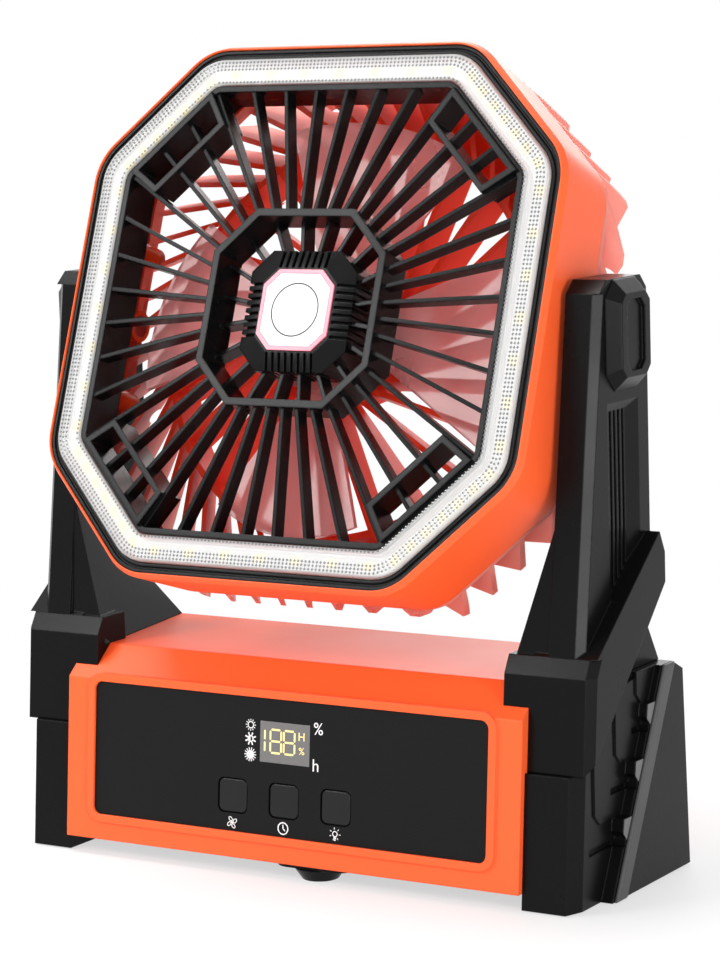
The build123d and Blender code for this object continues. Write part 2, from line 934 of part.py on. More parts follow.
def gusset():
    """The web that spreads the arm's foot over the end of the housing."""
    low = base_top + fit
    front = block_top()[0]
    inner_front = base_end - gusset_inset
    foot = [
        (inner_front, front, low),
        (arm_out, front, low),
        (arm_out, gusset_rear_foot, low),
        (base_end, gusset_rear_inner_foot, low),
    ]
    front_top = arm_front_y(gusset_front_top)
    head = [
        (arm_in, front_top, gusset_front_top),
        (arm_out, front_top, gusset_front_top),
        (arm_out, gusset_rear_head, gusset_rear_top),
        (arm_in, gusset_rear_head, gusset_rear_top),
    ]
    sections = [make_face(Polyline(*points, close=True)) for points in (foot, head)]
    return loft(sections, ruled=True)


def arm_block():
    """The block at the arm's foot, with the ledge that reaches over the housing."""
    body = side_slab(brace_outline(), base_end, brace_side)
    shoulder_y, shoulder_z = block_top()
    corner = (brace_side, block_corner_side, block_corner_depth)
    body -= corner_cut(block_y, *corner, block_bottom - 1, block_shoulder)
    body -= corner_cut(block_slope_y, *corner, block_shoulder, shoulder_z)
    ledge = base_lift + ear_height
    rear = face_y(ledge) + notch_depth
    tongue = [
        (block_y(ledge), ledge),
        (block_y(block_shoulder), block_shoulder),
        (shoulder_y, shoulder_z),
        (rear, shoulder_z),
        (rear, ledge),
    ]
    body += side_slab(tongue, base_end - ear_width, base_end)
    room = block((0, rear + fit, block_bottom), (arm_in, arm_rear + 1, arm_top))
    return body - room


def pivot(radius, low, high):
    """A round bar on the tilt axis."""
    return cross_rod(radius, low, high, tilt_axis_y, tilt_axis_z)


def pocket_outline(inset):
    """Hollow of the upper arm in the side view."""
    upper = offset(Polygon(*upper_arm_outline(), align=None), -inset, kind=Kind.INTERSECTION)
    bottom = pocket_bottom - arm_wall + inset
    window = Pos(tilt_axis_y, bottom) * Rectangle(base_depth, arm_top, align=(Align.CENTER, Align.MIN))
    return upper & window


def arm_pocket():
    hollow = side_face(pocket_outline(arm_wall), arm_in, arm_out - arm_side_wall)
    lap = side_face(pocket_outline(arm_wall - arm_cover_lap), arm_in, arm_in + arm_cover_thickness)
    return hollow + lap - pivot(pivot_boss_radius, arm_in, arm_out)


def arm():
    body = upper_arm() - grooved_panel() + arm_block()
    body -= arm_pocket()
    body -= pivot(pivot_bush_radius + fit, arm_in - 1, arm_out + 1)
    for y in arm_screw_places():
        hole = rod(screw_radius + fit, base_top, base_top - cap_wall + screw_length)
        body -= Pos(arm_screw_x(), y, 0) * hole
    return body


def arm_cover():
    outline = pocket_outline(arm_wall - arm_cover_lap + fit)
    plate = side_face(outline, arm_in, arm_in + arm_cover_thickness)
    return plate - pivot(pivot_boss_radius + fit, arm_in - 1, arm_out)


def arm_screw_x():
    return (base_end + min(cap_side - cap_wall, arm_out)) / 2


def arm_screw_places():
    """Y of the screws that hold an arm down on its end cap."""
    return [tilt_axis_y - arm_screw_front, tilt_axis_y + arm_screw_rear]


def arm_screws():
    seat = base_top - cap_wall
    return both_sides([Pos(arm_screw_x(), y, seat) * housing_screw() for y in arm_screw_places()])


# Tilt pivots

nut_in = arm_out + clear
pin_end = nut_in + nut_thickness


def tilt_pin():
    return pivot(pin_radius, shell_half - shell_wall - tilt_boss_length, pin_end)


def tilt_nut():
    nut = extrude(RegularPolygon(nut_radius, 6), nut_thickness)
    placed = Pos(nut_in, tilt_axis_y, tilt_axis_z) * Rot(0, 90, 0) * nut
    return placed - pivot(pin_radius + fit, nut_in - 1, pin_end + 1)


def pivot_bush():
    return pivot(pivot_bush_radius, arm_in, arm_out) - pivot(pin_radius + running, arm_in - 1, arm_out + 1)


def friction_washer():
    low = shell_half + washer_play
    high = arm_in - washer_play
    return pivot(washer_radius, low, high) - pivot(pin_radius + running, low - 1, high + 1)


def cap_face(width, height, corner, x):
    """A face of the pivot cap with its corners cut, at a distance along X."""
    face = chamfer(Rectangle(width, height).vertices(), corner)
    middle = (x, tilt_axis_y + pivot_cap_shift, tilt_axis_z + arm_height - pivot_cap_height / 2 - fit)
    return Plane(origin=middle, x_dir=(0, 1, 0), z_dir=(1, 0, 0)) * face


def pivot_cap():
    outer = arm_out + pivot_cap_proud
    foot = cap_face(pivot_cap_depth, pivot_cap_height, pivot_cap_corner, arm_out)
    top_depth = pivot_cap_depth - 2 * pivot_cap_bevel
    top_height = pivot_cap_height - 2 * pivot_cap_slope
    top = cap_face(top_depth, top_height, pivot_face_corner, outer)
    body = loft([foot, top], ruled=True)
    recess = cap_face(pivot_recess_width, pivot_recess_height, pivot_face_corner, outer - pivot_cap_recess)
    body -= extrude(recess, pivot_cap_recess + 1, dir=(1, 0, 0))
    return body - pivot(nut_radius + clear, arm_out - 1, pin_end + clear)


# Head, drawn with the tilt axis along X, Y up and Z out of the front


def cut_square(half, leg):
    """A square with its corners cut off."""
    return chamfer(Rectangle(2 * half, 2 * half).vertices(), leg)


def octagon_leg(half):
    """Corner cut of an octagon of the head that runs parallel to the lens trim."""
    return corner_leg + (half - trim_half) * (2 - math.sqrt(2))


def octagon(half):
    """A rounded octagon parallel to the lens trim."""
    face = cut_square(half, octagon_leg(half))
    return fillet(face.vertices(), corner_radius + half - trim_half)


def octagon_ring(outer, inner, low, high):
    return slab(octagon(outer) - octagon(inner), low, high)


def octagon_taper(low_half, high_half, low, high):
    """A solid that narrows or widens from one octagon to another."""
    return loft([Pos(0, 0, low) * octagon(low_half), Pos(0, 0, high) * octagon(high_half)], ruled=True)


def corner_distance(half):
    """Middle of the head to the middle of a corner cut."""
    return (2 * half - octagon_leg(half)) / math.sqrt(2)


def shell_boss_places():
    """Places of the screws that hold the rear guard to the shell."""
    reach = shell_rear_half - shell_wall / 2 - shell_boss_radius
    spread = shell_boss_spread
    flats = [(x, y) for x in (-spread, spread) for y in (-reach, reach)]
    return flats + [(y, x) for x, y in flats]


def tilt_boss(radius, inner, outer):
    """A bar on the tilt axis in the head's own frame."""
    return Pos(inner, 0, 0) * Rot(0, 90, 0) * rod(radius, 0, outer - inner)


def head_shell():
    mouth = shell_front - shell_bevel
    outer = octagon_taper(shell_rear_half, shell_half, -shell_rear, mouth)
    outer += octagon_taper(shell_half, shell_half - shell_bevel_side, mouth, shell_front)
    inside = shell_half - shell_wall
    shell = outer - octagon_taper(shell_rear_half - shell_wall, inside, -shell_rear, seat_rear)
    shell -= slab(octagon(trim_half + fit), seat_front, shell_front + 1)
    shell -= slab(octagon(grille_half + clear / 2), 0, shell_front)
    boss_in = inside - tilt_boss_length
    bosses = [Pos(x, y, 0) * rod(shell_boss_radius, -shell_rear, seat_rear) for x, y in shell_boss_places()]
    pivot_boss = tilt_boss(tilt_boss_radius, boss_in, shell_half)
    shell += bosses + [pivot_boss, left_of(pivot_boss)]
    hole = tilt_boss(pin_radius + fit, boss_in - 1, shell_half + 1)
    shell -= [hole, left_of(hole)]
    screw_top = -shell_rear - guard_rim_thickness + screw_length
    for x, y in shell_boss_places():
        shell -= Pos(x, y, 0) * rod(screw_radius + fit, -shell_rear - 1, screw_top)
    depth = min(small_screw_length - grille_flange_thickness, seat_thickness)
    for x, y in grille_screw_places():
        shell -= Pos(x, y, 0) * rod(small_screw_radius + fit, seat_rear - 1, seat_rear + depth)
    return shell


def lens_trim():
    top = seat_front + trim_proud
    ring = octagon_ring(trim_half, trim_half - trim_width, seat_front, top)
    outer = trim_half - (trim_width - trim_groove_width) / 2
    return ring - octagon_ring(outer, outer - trim_groove_width, top - trim_groove_depth, top + 1)


def lens_ring():
    top = seat_front + lens_proud
    ring = octagon_ring(lens_outer, lens_inner, seat_front, top)
    ring = fillet(ring.faces().sort_by(Axis.Z)[-1].edges(), lens_edge)
    inside = top - lens_thickness
    return ring - octagon_ring(lens_outer - lens_leg, lens_inner + lens_leg, seat_front - 1, inside)


def led_board():
    outer = lens_outer - lens_leg - clear
    inner = lens_inner + lens_leg + clear
    return octagon_ring(outer, inner, seat_front, seat_front + light_board_thickness)


def led_chips():
    half = (lens_outer + lens_inner) / 2
    flat = 2 * (half - octagon_leg(half))
    corner = math.sqrt(2) * octagon_leg(half)
    low = seat_front + light_board_thickness
    chip = slab(Rectangle(chip_length, chip_width), low, low + chip_height)
    chips = []
    for side in range(8):
        length = corner if side % 2 else flat
        reach = corner_distance(half) if side % 2 else half
        for index in range(chips_per_side):
            along = length * ((index + 0.5) / chips_per_side - 0.5)
            chips.append(Rot(0, 0, 45 * side) * (Pos(along, reach, 0) * chip))
    return Compound(chips)


def grille_screw_places():
    """Places of the screws that hold the grille behind the shell's seat."""
    reach = grille_half + grille_flange / 2
    spread = shell_boss_spread / 2
    flats = [(x, y) for x in (-spread, spread) for y in (-reach, reach)]
    return flats + [(y, x) for x, y in flats]


def grille_rib():
    """One rib of the grille, along X."""
    start = ring_half - 2 * ring_width
    end = 2 * grille_half
    fall = (ring_front - rib_front) / (grille_half - ring_half)
    inner_edge = ring_front - ring_width / 2
    outer_edge = rib_front - fall * (end - grille_half)
    profile = [
        (start, inner_edge - rib_depth),
        (end, outer_edge - rib_depth),
        (end, outer_edge),
        (start, inner_edge),
    ]
    return extrude(Plane.XZ * Polygon(*profile, align=None), rib_thickness / 2, both=True)


def grille_spoke():
    """One of the deep spokes between the hub and the ring."""
    half = rib_thickness / 2
    return block((hub_half - 2, -half, ring_rear), (2 * ring_half, half, spoke_front))


def corner_tray():
    """The frame of three windows along the top corner cut."""
    outer = corner_distance(grille_half - grille_wall / 2)
    half = tray_length / 2
    points = [
        (-half, outer),
        (half, outer),
        (half - tray_taper, outer - tray_depth),
        (-half + tray_taper, outer - tray_depth),
    ]
    edge = Polygon(*points, align=None)
    frame = edge - offset(edge, -tray_wall, kind=Kind.INTERSECTION)
    return slab(frame, tray_rear, tray_front)


def hub_groove():
    """One groove of the hub's grip, on its +X side."""
    inner = hub_half - hub_bevel
    profile = [
        (inner, hub_front + 1),
        (inner, hub_front - hub_groove_depth),
        (hub_half - hub_groove_depth, hub_shoulder - hub_groove_depth),
        (hub_half - hub_groove_depth, hub_rear),
        (hub_half + 1, hub_rear),
        (hub_half + 1, hub_front + 1),
    ]
    return extrude(Plane.XZ * Polygon(*profile, align=None), hub_groove_width / 2, both=True)


def grille_hub():
    top_half = hub_half - hub_bevel
    top = Pos(0, 0, hub_front) * cut_square(top_half + hub_rim, badge_leg)
    waist = Pos(0, 0, hub_shoulder) * cut_square(hub_half, hub_leg)
    hub = slab(cut_square(hub_half, hub_leg), hub_rear, hub_shoulder) + loft([waist, top], ruled=True)
    grooves = []
    for side in range(4):
        for index in range(hub_grooves_per_side):
            along = hub_groove_pitch * (index - (hub_grooves_per_side - 1) / 2)
            grooves.append(Rot(0, 0, 90 * side) * (Pos(hub_rim, along, 0) * hub_groove()))
    hub -= grooves
    return hub - slab(cut_square(badge_half + fit, badge_leg), hub_front - badge_depth, hub_front + 2)


def front_grille():
    inner_half = grille_half - grille_wall
    frame = octagon_ring(grille_half, inner_half, grille_rear, grille_front)
    flange_half = grille_half + grille_flange
    flange = octagon_ring(flange_half, inner_half, seat_rear - grille_flange_thickness, seat_rear)
    step = 360 / rib_count
    ribs = [Rot(0, 0, step * (index + 0.5)) * grille_rib() for index in range(rib_count)]
    ring_middle = cut_square(ring_half - ring_width / 2, ring_leg)
    reach = slab(octagon(grille_half - grille_wall / 2) - ring_middle, grille_rear, ring_front)
    ribs = [rib & reach for rib in ribs]
    ring = slab(cut_square(ring_half, ring_leg), ring_rear, ring_front)
    ring_inner_leg = ring_leg - ring_width * (2 - math.sqrt(2))
    ring -= slab(cut_square(ring_half - ring_width, ring_inner_leg), ring_rear - 1, ring_front + 1)
    spoke_step = 360 / spoke_count
    ring_reach = slab(ring_middle, hub_rear, ring_front)
    spoke_turns = [Rot(0, 0, spoke_step * (index + 0.5)) for index in range(spoke_count)]
    spokes = [turn * grille_spoke() & ring_reach for turn in spoke_turns]
    trays = [Rot(0, 0, 45 + 90 * index) * corner_tray() for index in range(4)]
    grille = frame + ([flange, ring, grille_hub()] + ribs + spokes + trays)
    for x, y in grille_screw_places():
        grille -= Pos(x, y, 0) * rod(small_screw_radius + fit, 0, seat_rear + 1)
    return grille


def grille_screws():
    seat = seat_rear - grille_flange_thickness
    shorter = small_screw_length - 1
    pin = screw(small_screw_radius, small_screw_head_radius, small_screw_head_height, shorter)
    return Compound([Pos(x, y, seat) * pin for x, y in grille_screw_places()])


badge_low = hub_front - badge_depth
badge_high = hub_front + badge_proud


def badge_border_ring():
    inner = badge_half - badge_border
    outline = cut_square(badge_half, badge_leg) - cut_square(inner, badge_leg * inner / badge_half)
    return slab(outline, badge_low, badge_high)


def badge_plate():
    half = badge_half - badge_border - fit
    return slab(cut_square(half, badge_leg * half / badge_half), badge_low, badge_high)


# Rear guard


def outer_fin():
    """One swept and slanted fin, running out past the rim along X."""
    front_y = -shell_half * math.sin(math.radians(fin_sweep))
    back_y = front_y - lean_run(fin_depth, fin_slant)
    profile = [
        (front_y, -shell_rear),
        (front_y + fin_thickness, -shell_rear),
        (back_y + fin_thickness, guard_back),
        (back_y, guard_back),
    ]
    return side_slab(profile, 0, 2 * shell_half)


def inner_fin():
    """One fin between the motor cup and the guard's ring."""
    start = motor_radius + cup_wall / 2
    half = fin_thickness / 2
    low = (math.sqrt(start**2 - inner_fin_offset**2), -inner_fin_offset - half, -shell_rear - inner_fin_depth)
    return block(low, (guard_ring_radius, -inner_fin_offset + half, -shell_rear))


def rear_guard():
    outer = shell_rear_half - clear
    rim = octagon_ring(outer, outer - guard_rim, -shell_rear - guard_rim_thickness, -shell_rear)
    lugs = []
    for x, y in shell_boss_places():
        lugs.append(Pos(x, y, 0) * rod(shell_boss_radius, -shell_rear - guard_rim_thickness, -shell_rear))
    inside_ring = rod(guard_ring_radius - guard_ring_width / 2, guard_back - 1, 0)
    room = slab(octagon(outer), guard_back, -shell_rear) - inside_ring
    step = 360 / fin_count
    fins = [Rot(0, 0, step * index) * outer_fin() & room for index in range(fin_count)]
    ring = rod(guard_ring_radius, guard_back + guard_ring_inset, -shell_rear)
    ring -= rod(guard_ring_radius - guard_ring_width, guard_back, 0)
    inner_step = 360 / inner_fin_count
    ring_reach = rod(guard_ring_radius - guard_ring_width / 2, guard_back, 0)
    inner_turns = [Rot(0, 0, inner_step * index) for index in range(inner_fin_count)]
    inner_fins = [turn * inner_fin() & ring_reach for turn in inner_turns]
    cup_radius = motor_radius + cup_wall
    cup = rod(cup_radius, guard_back, -shell_rear)
    guard = rim + (lugs + fins + [ring, cup] + inner_fins)
    guard -= rod(motor_radius + fit, motor_back, 0)
    for x, y in shell_boss_places():
        guard -= Pos(x, y, 0) * rod(screw_radius + fit, guard_back - 1, 0)
        seat = -shell_rear - guard_rim_thickness
        guard -= Pos(x, y, 0) * rod(screw_head_radius + clear, guard_back - 1, seat)
    for x, y in motor_screw_places():
        guard -= Pos(x, y, 0) * rod(small_screw_radius + fit, guard_back - 1, 0)
        head_depth = guard_back + small_screw_head_height
        guard -= Pos(x, y, 0) * rod(small_screw_head_radius + fit, guard_back - 1, head_depth)
    return guard


def guard_screws():
    seat = -shell_rear - guard_rim_thickness
    return Compound([Pos(x, y, seat) * housing_screw() for x, y in shell_boss_places()])


# Motor and impeller

motor_back = guard_back + cup_wall
motor_front = motor_back + motor_length
bell_front = motor_back + motor_wall


def motor_can():
    can = rod(motor_radius, motor_back, motor_front)
    can -= rod(motor_radius - motor_wall, motor_back - 1, motor_front - motor_wall)
    return can - rod(bush_radius + fit, motor_back, motor_front + 1)


def motor_end_bell():
    bell = rod(motor_radius - motor_wall - fit, motor_back, bell_front)
    bell -= rod(bush_radius + fit, motor_back - 1, bell_front + 1)
    for x, y in motor_screw_places():
        bell -= Pos(x, y, 0) * rod(small_screw_radius + fit, motor_back - 1, bell_front + 1)
    return bell


def motor_screw_places():
    """Places of the screws that hold the motor in its cup."""
    reach = (motor_radius + bush_radius) / 2
    return [(-reach, 0), (reach, 0)]


def motor_screws():
    seat = guard_back + small_screw_head_height
    length = bell_front - seat
    pin = screw(small_screw_radius, small_screw_head_radius, small_screw_head_height, length)
    return Compound([Pos(x, y, seat) * pin for x, y in motor_screw_places()])


def motor_bushes():
    rear = rod(bush_radius, motor_back, motor_back + bush_length)
    front = rod(bush_radius, motor_front - bush_length, motor_front)
    bore = rod(shaft_radius + running, motor_back - 1, motor_front + 1)
    return Compound([rear - bore, front - bore])


def rotor_low():
    return (motor_back + motor_front - rotor_length) / 2


def motor_magnets():
    outer = motor_radius - motor_wall - fit
    low = rotor_low()
    top = low + rotor_length
    ring = rod(outer, low, top) - rod(outer - magnet_thickness, low - 1, top + 1)
    half_gap = outer * math.cos(math.radians(magnet_span / 2))
    gap_cut = block((-half_gap, -2 * outer, low - 1), (half_gap, 2 * outer, top + 1))
    pair = ring - gap_cut
    return Compound(pair.solids())


def motor_rotor():
    low = rotor_low()
    top = low + rotor_length
    return rod(rotor_radius, low, top) - rod(shaft_radius + fit, low - 1, top + 1)


def motor_shaft():
    return rod(shaft_radius, motor_back + fit, impeller_hub_front)


def blade():
    """One twisted blade, pointing along X."""
    sections = []
    root = impeller_hub_radius - impeller_wall / 2
    for radius in (root, blade_middle_radius, blade_tip_radius + blade_overrun):
        chord = 2 * lean_run(radius, blade_half_span)
        pitch = math.degrees(math.atan2(blade_rise, chord))
        plane = Plane(origin=(radius, 0, blade_middle), x_dir=(0, 1, 0), z_dir=(1, 0, 0))
        sections.append(plane * (Rot(0, 0, pitch) * Rectangle(chord, blade_thickness)))
    swept = loft(sections, ruled=True)
    return swept & rod(blade_tip_radius, blade_middle - 2 * blade_rise, blade_middle + 2 * blade_rise)


def impeller():
    hub = rod(impeller_hub_radius, impeller_hub_rear, impeller_hub_front)
    room = rod(impeller_hub_radius - impeller_wall, impeller_hub_rear - 1, impeller_hub_front - impeller_wall)
    turns = [blade_first + 360 / blade_count * index for index in range(blade_count)]
    wheel = hub + [Rot(0, 0, turn) * blade() for turn in turns]
    collar_low = motor_front + clear
    collar = rod(impeller_collar_radius, collar_low, impeller_hub_front)
    return wheel - room + collar - rod(shaft_radius + fit, collar_low - 1, impeller_hub_front + 1)


def impeller_cap():
    return rod(impeller_collar_radius, impeller_hub_front, impeller_hub_front + impeller_cap_thickness)


def in_head(shape):
    """Place a piece of the head at its tilt."""
    return head_plane * shape


pieces = {
    "base_shell": base_shell(),
    "base_floor": base_floor(),
    "base_screws": base_screws(),
    "control_fascia": control_fascia(),
    "display_window": display_window(),
    "display_module": display_module(),
    "control_board": control_board(),
    "tact_switches": tact_switches(),
    "board_screws": board_screws(),
    "battery_holder": battery_holder(),
    "battery_cells": battery_cells(),
    "battery_contacts": battery_contacts(),
    "power_board": power_board(),
    "charge_inlet": charge_inlet(),
    "cap_screws": cap_screws(),
    "foot_pads": foot_pads(),
    "front_foot": front_foot(),
    "arm_screws": arm_screws(),
    "pivot_bushes": both_sides([pivot_bush()]),
    "friction_washers": both_sides([friction_washer()]),
    "tilt_nuts": both_sides([tilt_nut()]),
}

for name, x in zip(("fan_button", "timer_button", "light_button"), key_places()):
    pieces[name] = key(x)

sided = {
    "end_cap": end_cap(),
    "side_rail": side_rail(),
    "arm": arm(),
    "arm_cover": arm_cover(),
    "pivot_cap": pivot_cap(),
    "tilt_pin": tilt_pin(),
}
for name, right in sided.items():
    pieces[name + "_right"] = right
    pieces[name + "_left"] = left_of(right)

head_pieces = {
    "head_shell": head_shell(),
    "lens_trim": lens_trim(),
    "lens_ring": lens_ring(),
    "led_board": led_board(),
    "led_chips": led_chips(),
    "front_grille": front_grille(),
    "grille_screws": grille_screws(),
    "badge_border": badge_border_ring(),
    "badge_plate": badge_plate(),
    "rear_guard": rear_guard(),
    "guard_screws": guard_screws(),
    "motor_can": motor_can(),
    "motor_end_bell": motor_end_bell(),
    "motor_screws": motor_screws(),
    "motor_bushes": motor_bushes(),
    "motor_magnets": motor_magnets(),
    "motor_rotor": motor_rotor(),
    "motor_shaft": motor_shaft(),
    "impeller": impeller(),
    "impeller_cap": impeller_cap(),
}
for name, shape in head_pieces.items():
    pieces[name] = in_head(shape)

os.makedirs("parts", exist_ok=True)
for name, shape in pieces.items():
    export_step(shape, f"parts/{name}.step")
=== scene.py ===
"""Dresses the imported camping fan: moulded plastics, a prismatic ring light, printed controls and a pale studio."""

import json
import math

import bmesh
import bpy
from bpy.props import FloatProperty, FloatVectorProperty, IntProperty, PointerProperty
from bpy.types import Operator, Panel, PropertyGroup
from mathutils import Matrix, Vector

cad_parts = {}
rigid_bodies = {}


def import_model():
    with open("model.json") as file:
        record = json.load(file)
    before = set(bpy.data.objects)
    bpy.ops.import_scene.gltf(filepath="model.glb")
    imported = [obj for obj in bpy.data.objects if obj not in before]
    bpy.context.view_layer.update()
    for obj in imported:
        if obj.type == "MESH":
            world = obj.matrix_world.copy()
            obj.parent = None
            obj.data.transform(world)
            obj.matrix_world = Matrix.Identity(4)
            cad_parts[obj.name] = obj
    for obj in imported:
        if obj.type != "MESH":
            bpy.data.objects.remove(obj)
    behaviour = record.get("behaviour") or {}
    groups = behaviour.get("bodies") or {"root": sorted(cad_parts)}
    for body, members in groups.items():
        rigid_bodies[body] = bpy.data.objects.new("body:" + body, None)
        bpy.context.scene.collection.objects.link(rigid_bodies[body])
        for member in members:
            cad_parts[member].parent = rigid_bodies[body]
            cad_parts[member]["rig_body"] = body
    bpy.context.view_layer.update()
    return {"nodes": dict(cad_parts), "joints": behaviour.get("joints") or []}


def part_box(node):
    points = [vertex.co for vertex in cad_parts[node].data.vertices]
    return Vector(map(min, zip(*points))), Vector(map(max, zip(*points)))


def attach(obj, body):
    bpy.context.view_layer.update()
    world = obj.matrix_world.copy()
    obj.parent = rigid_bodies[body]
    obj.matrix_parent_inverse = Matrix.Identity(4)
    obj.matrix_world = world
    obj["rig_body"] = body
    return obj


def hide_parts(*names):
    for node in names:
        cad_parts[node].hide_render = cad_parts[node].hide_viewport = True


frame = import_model()

bl_info = {
    "name": "Camping fan",
    "version": (1, 0, 0),
    "blender": (4, 5, 0),
    "location": "View3D > Sidebar > Camping fan",
    "description": "Finishes, printed controls, ring light and studio for the packed camping fan",
    "category": "Object",
}

MM = 0.001
JOINTS = {joint["name"]: joint for joint in frame["joints"]}

# A point at the foot of the control face, and the point that the camera and the lamps look at.
PANEL_FOOT = (0, -44 * MM, 6 * MM)
LOOK_AT = Vector((-0.8, 16, 133.7)) * MM

# Angles in degrees from which the shallow facets of the end caps and the arms count as edges.
CAP_FACETS = 14
ARM_FACETS = 10.5

# The octagon that the lens's prisms run parallel to: half its width, the leg cut from each of its corners, the
# rounding where its sides meet, and how much further out than the others its slanted sides lie.
OCTAGON_HALF = 96 * MM
OCTAGON_LEG = 41 * MM
OCTAGON_ROUNDING = 20 * MM
OCTAGON_SLANT = 10.77 * MM

# Place and width of each softbox, in metres.
SOFTBOXES = {
    "key": ((0.7, -1.33, 0.68), 0.7),
    "left": ((-0.78, -0.95, 0.88), 0.4),
    "right": ((1.2, -0.62, 0.21), 0.38),
    "top": ((-0.5, -0.1, 1.25), 0.45),
    "rim": ((-0.3, 1.2, 0.8), 0.8),
}


def plane_at(origin, normal):
    """Placement whose X runs across the fan, and whose Z is the given normal."""
    z = Vector(normal).normalized()
    x = Vector((1, 0, 0))
    y = z.cross(x)
    return Matrix.Translation(Vector(origin)) @ Matrix((x, y, z)).transposed().to_4x4()


def front_of(node, place):
    """How far a node reaches along the Z of a placement."""
    inverse = place.inverted()
    return max((inverse @ vertex.co).z for vertex in frame["nodes"][node].data.vertices)


# The head looks along the axis of its impeller, and the control face lies across the travel of its keys.
HEAD = plane_at(JOINTS["head_tilt"]["pos_m"], JOINTS["impeller_spin"]["axis"])
FACE = plane_at(PANEL_FOOT, -Vector(JOINTS["fan_button_press"]["axis"]))


class FanColours(PropertyGroup):
    """Colours of the fan's mouldings and prints."""

    shell: FloatVectorProperty(
        name="Shell", description="Orange of the base housing and the head", subtype="COLOR", size=3,
        min=0, max=1, default=(0.96, 0.118, 0.026))
    guard: FloatVectorProperty(
        name="Guard", description="Orange-red of the rear guard", subtype="COLOR", size=3,
        min=0, max=1, default=(0.95, 0.06, 0.02))
    # Painted light: the paler tip colour stands in for light that shines through the thin fins.
    guard_tip_painted_light: FloatVectorProperty(
        name="Guard tips", description="Pale orange of the guard's thin outer tips", subtype="COLOR", size=3,
        min=0, max=1, default=(0.97, 0.36, 0.3))
    blade: FloatVectorProperty(
        name="Blades", description="Pale pink of the impeller", subtype="COLOR", size=3,
        min=0, max=1, default=(0.98, 0.62, 0.61))
    black: FloatVectorProperty(
        name="Black", description="Matte black of the arms, end caps and grille", subtype="COLOR", size=3,
        min=0, max=1, default=(0.0042, 0.0042, 0.0045))
    charcoal: FloatVectorProperty(
        name="Charcoal", description="Grey of the side rails and the facets beside them", subtype="COLOR", size=3,
        min=0, max=1, default=(0.075, 0.075, 0.077))
    fascia: FloatVectorProperty(
        name="Fascia", description="Black of the control fascia", subtype="COLOR", size=3,
        min=0, max=1, default=(0.005, 0.005, 0.0053))
    ink: FloatVectorProperty(
        name="Ink", description="White of the printed symbols", subtype="COLOR", size=3,
        min=0, max=1, default=(0.86, 0.86, 0.86))
    digit: FloatVectorProperty(
        name="Digits", description="Pale yellow of the display's digits", subtype="COLOR", size=3,
        min=0, max=1, default=(0.9, 0.74, 0.3))
    badge: FloatVectorProperty(
        name="Badge border", description="Pink of the badge's border", subtype="COLOR", size=3,
        min=0, max=1, default=(0.86, 0.2, 0.27))


class FanEdges(PropertyGroup):
    """How far the mouldings' edges are rounded."""

    housing: FloatProperty(
        name="Housing", description="Rounding of the base housing and the head", subtype="DISTANCE", unit="LENGTH",
        min=0, default=0.7 * MM)
    arm: FloatProperty(
        name="Arms", description="Rounding of the arms and end caps", subtype="DISTANCE", unit="LENGTH",
        min=0, default=0.8 * MM)
    rib: FloatProperty(
        name="Ribs", description="Rounding of the grille's ribs and the guard's fins", subtype="DISTANCE",
        unit="LENGTH", min=0, default=0.3 * MM)
    small: FloatProperty(
        name="Small pieces", description="Rounding of keys, trims and caps", subtype="DISTANCE", unit="LENGTH",
        min=0, default=0.25 * MM)


class FanLight(PropertyGroup):
    """Prisms of the ring light's lens."""

    outer_row: FloatProperty(
        name="Outer row", description="Middle of the head to the outer row of prisms", subtype="DISTANCE",
        unit="LENGTH", min=0, default=90.6 * MM)
    row_step: FloatProperty(
        name="Row step", description="From one outer row of prisms to the next", subtype="DISTANCE", unit="LENGTH",
        min=0, default=1.3 * MM)
    rows: IntProperty(name="Rows", description="Rows of prisms along the lens's outer edge", min=1, default=3)
    inner_row: FloatProperty(
        name="Inner row", description="Middle of the head to the inner row of prisms", subtype="DISTANCE",
        unit="LENGTH", min=0, default=83.2 * MM)
    pitch: FloatProperty(
        name="Pitch", description="From one prism to the next in a row", subtype="DISTANCE", unit="LENGTH",
        min=0.1 * MM, default=1.5 * MM)
    prism: FloatProperty(
        name="Prism", description="Width of one prism", subtype="DISTANCE", unit="LENGTH", min=0,
        default=0.8 * MM)


class FanFacets(PropertyGroup):
    """Grey plates on the end caps, beside the slanted rails."""

    count: IntProperty(name="Count", description="Plates on each end cap", min=0, default=3)
    top: FloatProperty(
        name="Top", description="Floor to the top of the highest plate", subtype="DISTANCE", unit="LENGTH",
        default=63.4 * MM)
    step: FloatProperty(
        name="Step", description="From one plate down to the next", subtype="DISTANCE", unit="LENGTH",
        default=18 * MM)
    height: FloatProperty(
        name="Height", description="Height of a plate", subtype="DISTANCE", unit="LENGTH", default=7.1 * MM)
    width: FloatProperty(
        name="Width", description="Width of a plate at its top", subtype="DISTANCE", unit="LENGTH",
        default=4.4 * MM)
    thickness: FloatProperty(
        name="Thickness", description="Thickness of a plate", subtype="DISTANCE", unit="LENGTH",
        default=0.25 * MM)


class FanPrints(PropertyGroup):
    """Prints on the control face."""

    thickness: FloatProperty(
        name="Thickness", description="Thickness of the ink", subtype="DISTANCE", unit="LENGTH", min=0,
        default=0.05 * MM)
    stroke: FloatProperty(
        name="Stroke", description="Line width of the symbols", subtype="DISTANCE", unit="LENGTH", min=0,
        default=0.42 * MM)
    segment: FloatProperty(
        name="Segment", description="Width of one bar of a digit", subtype="DISTANCE", unit="LENGTH", min=0,
        default=0.72 * MM)


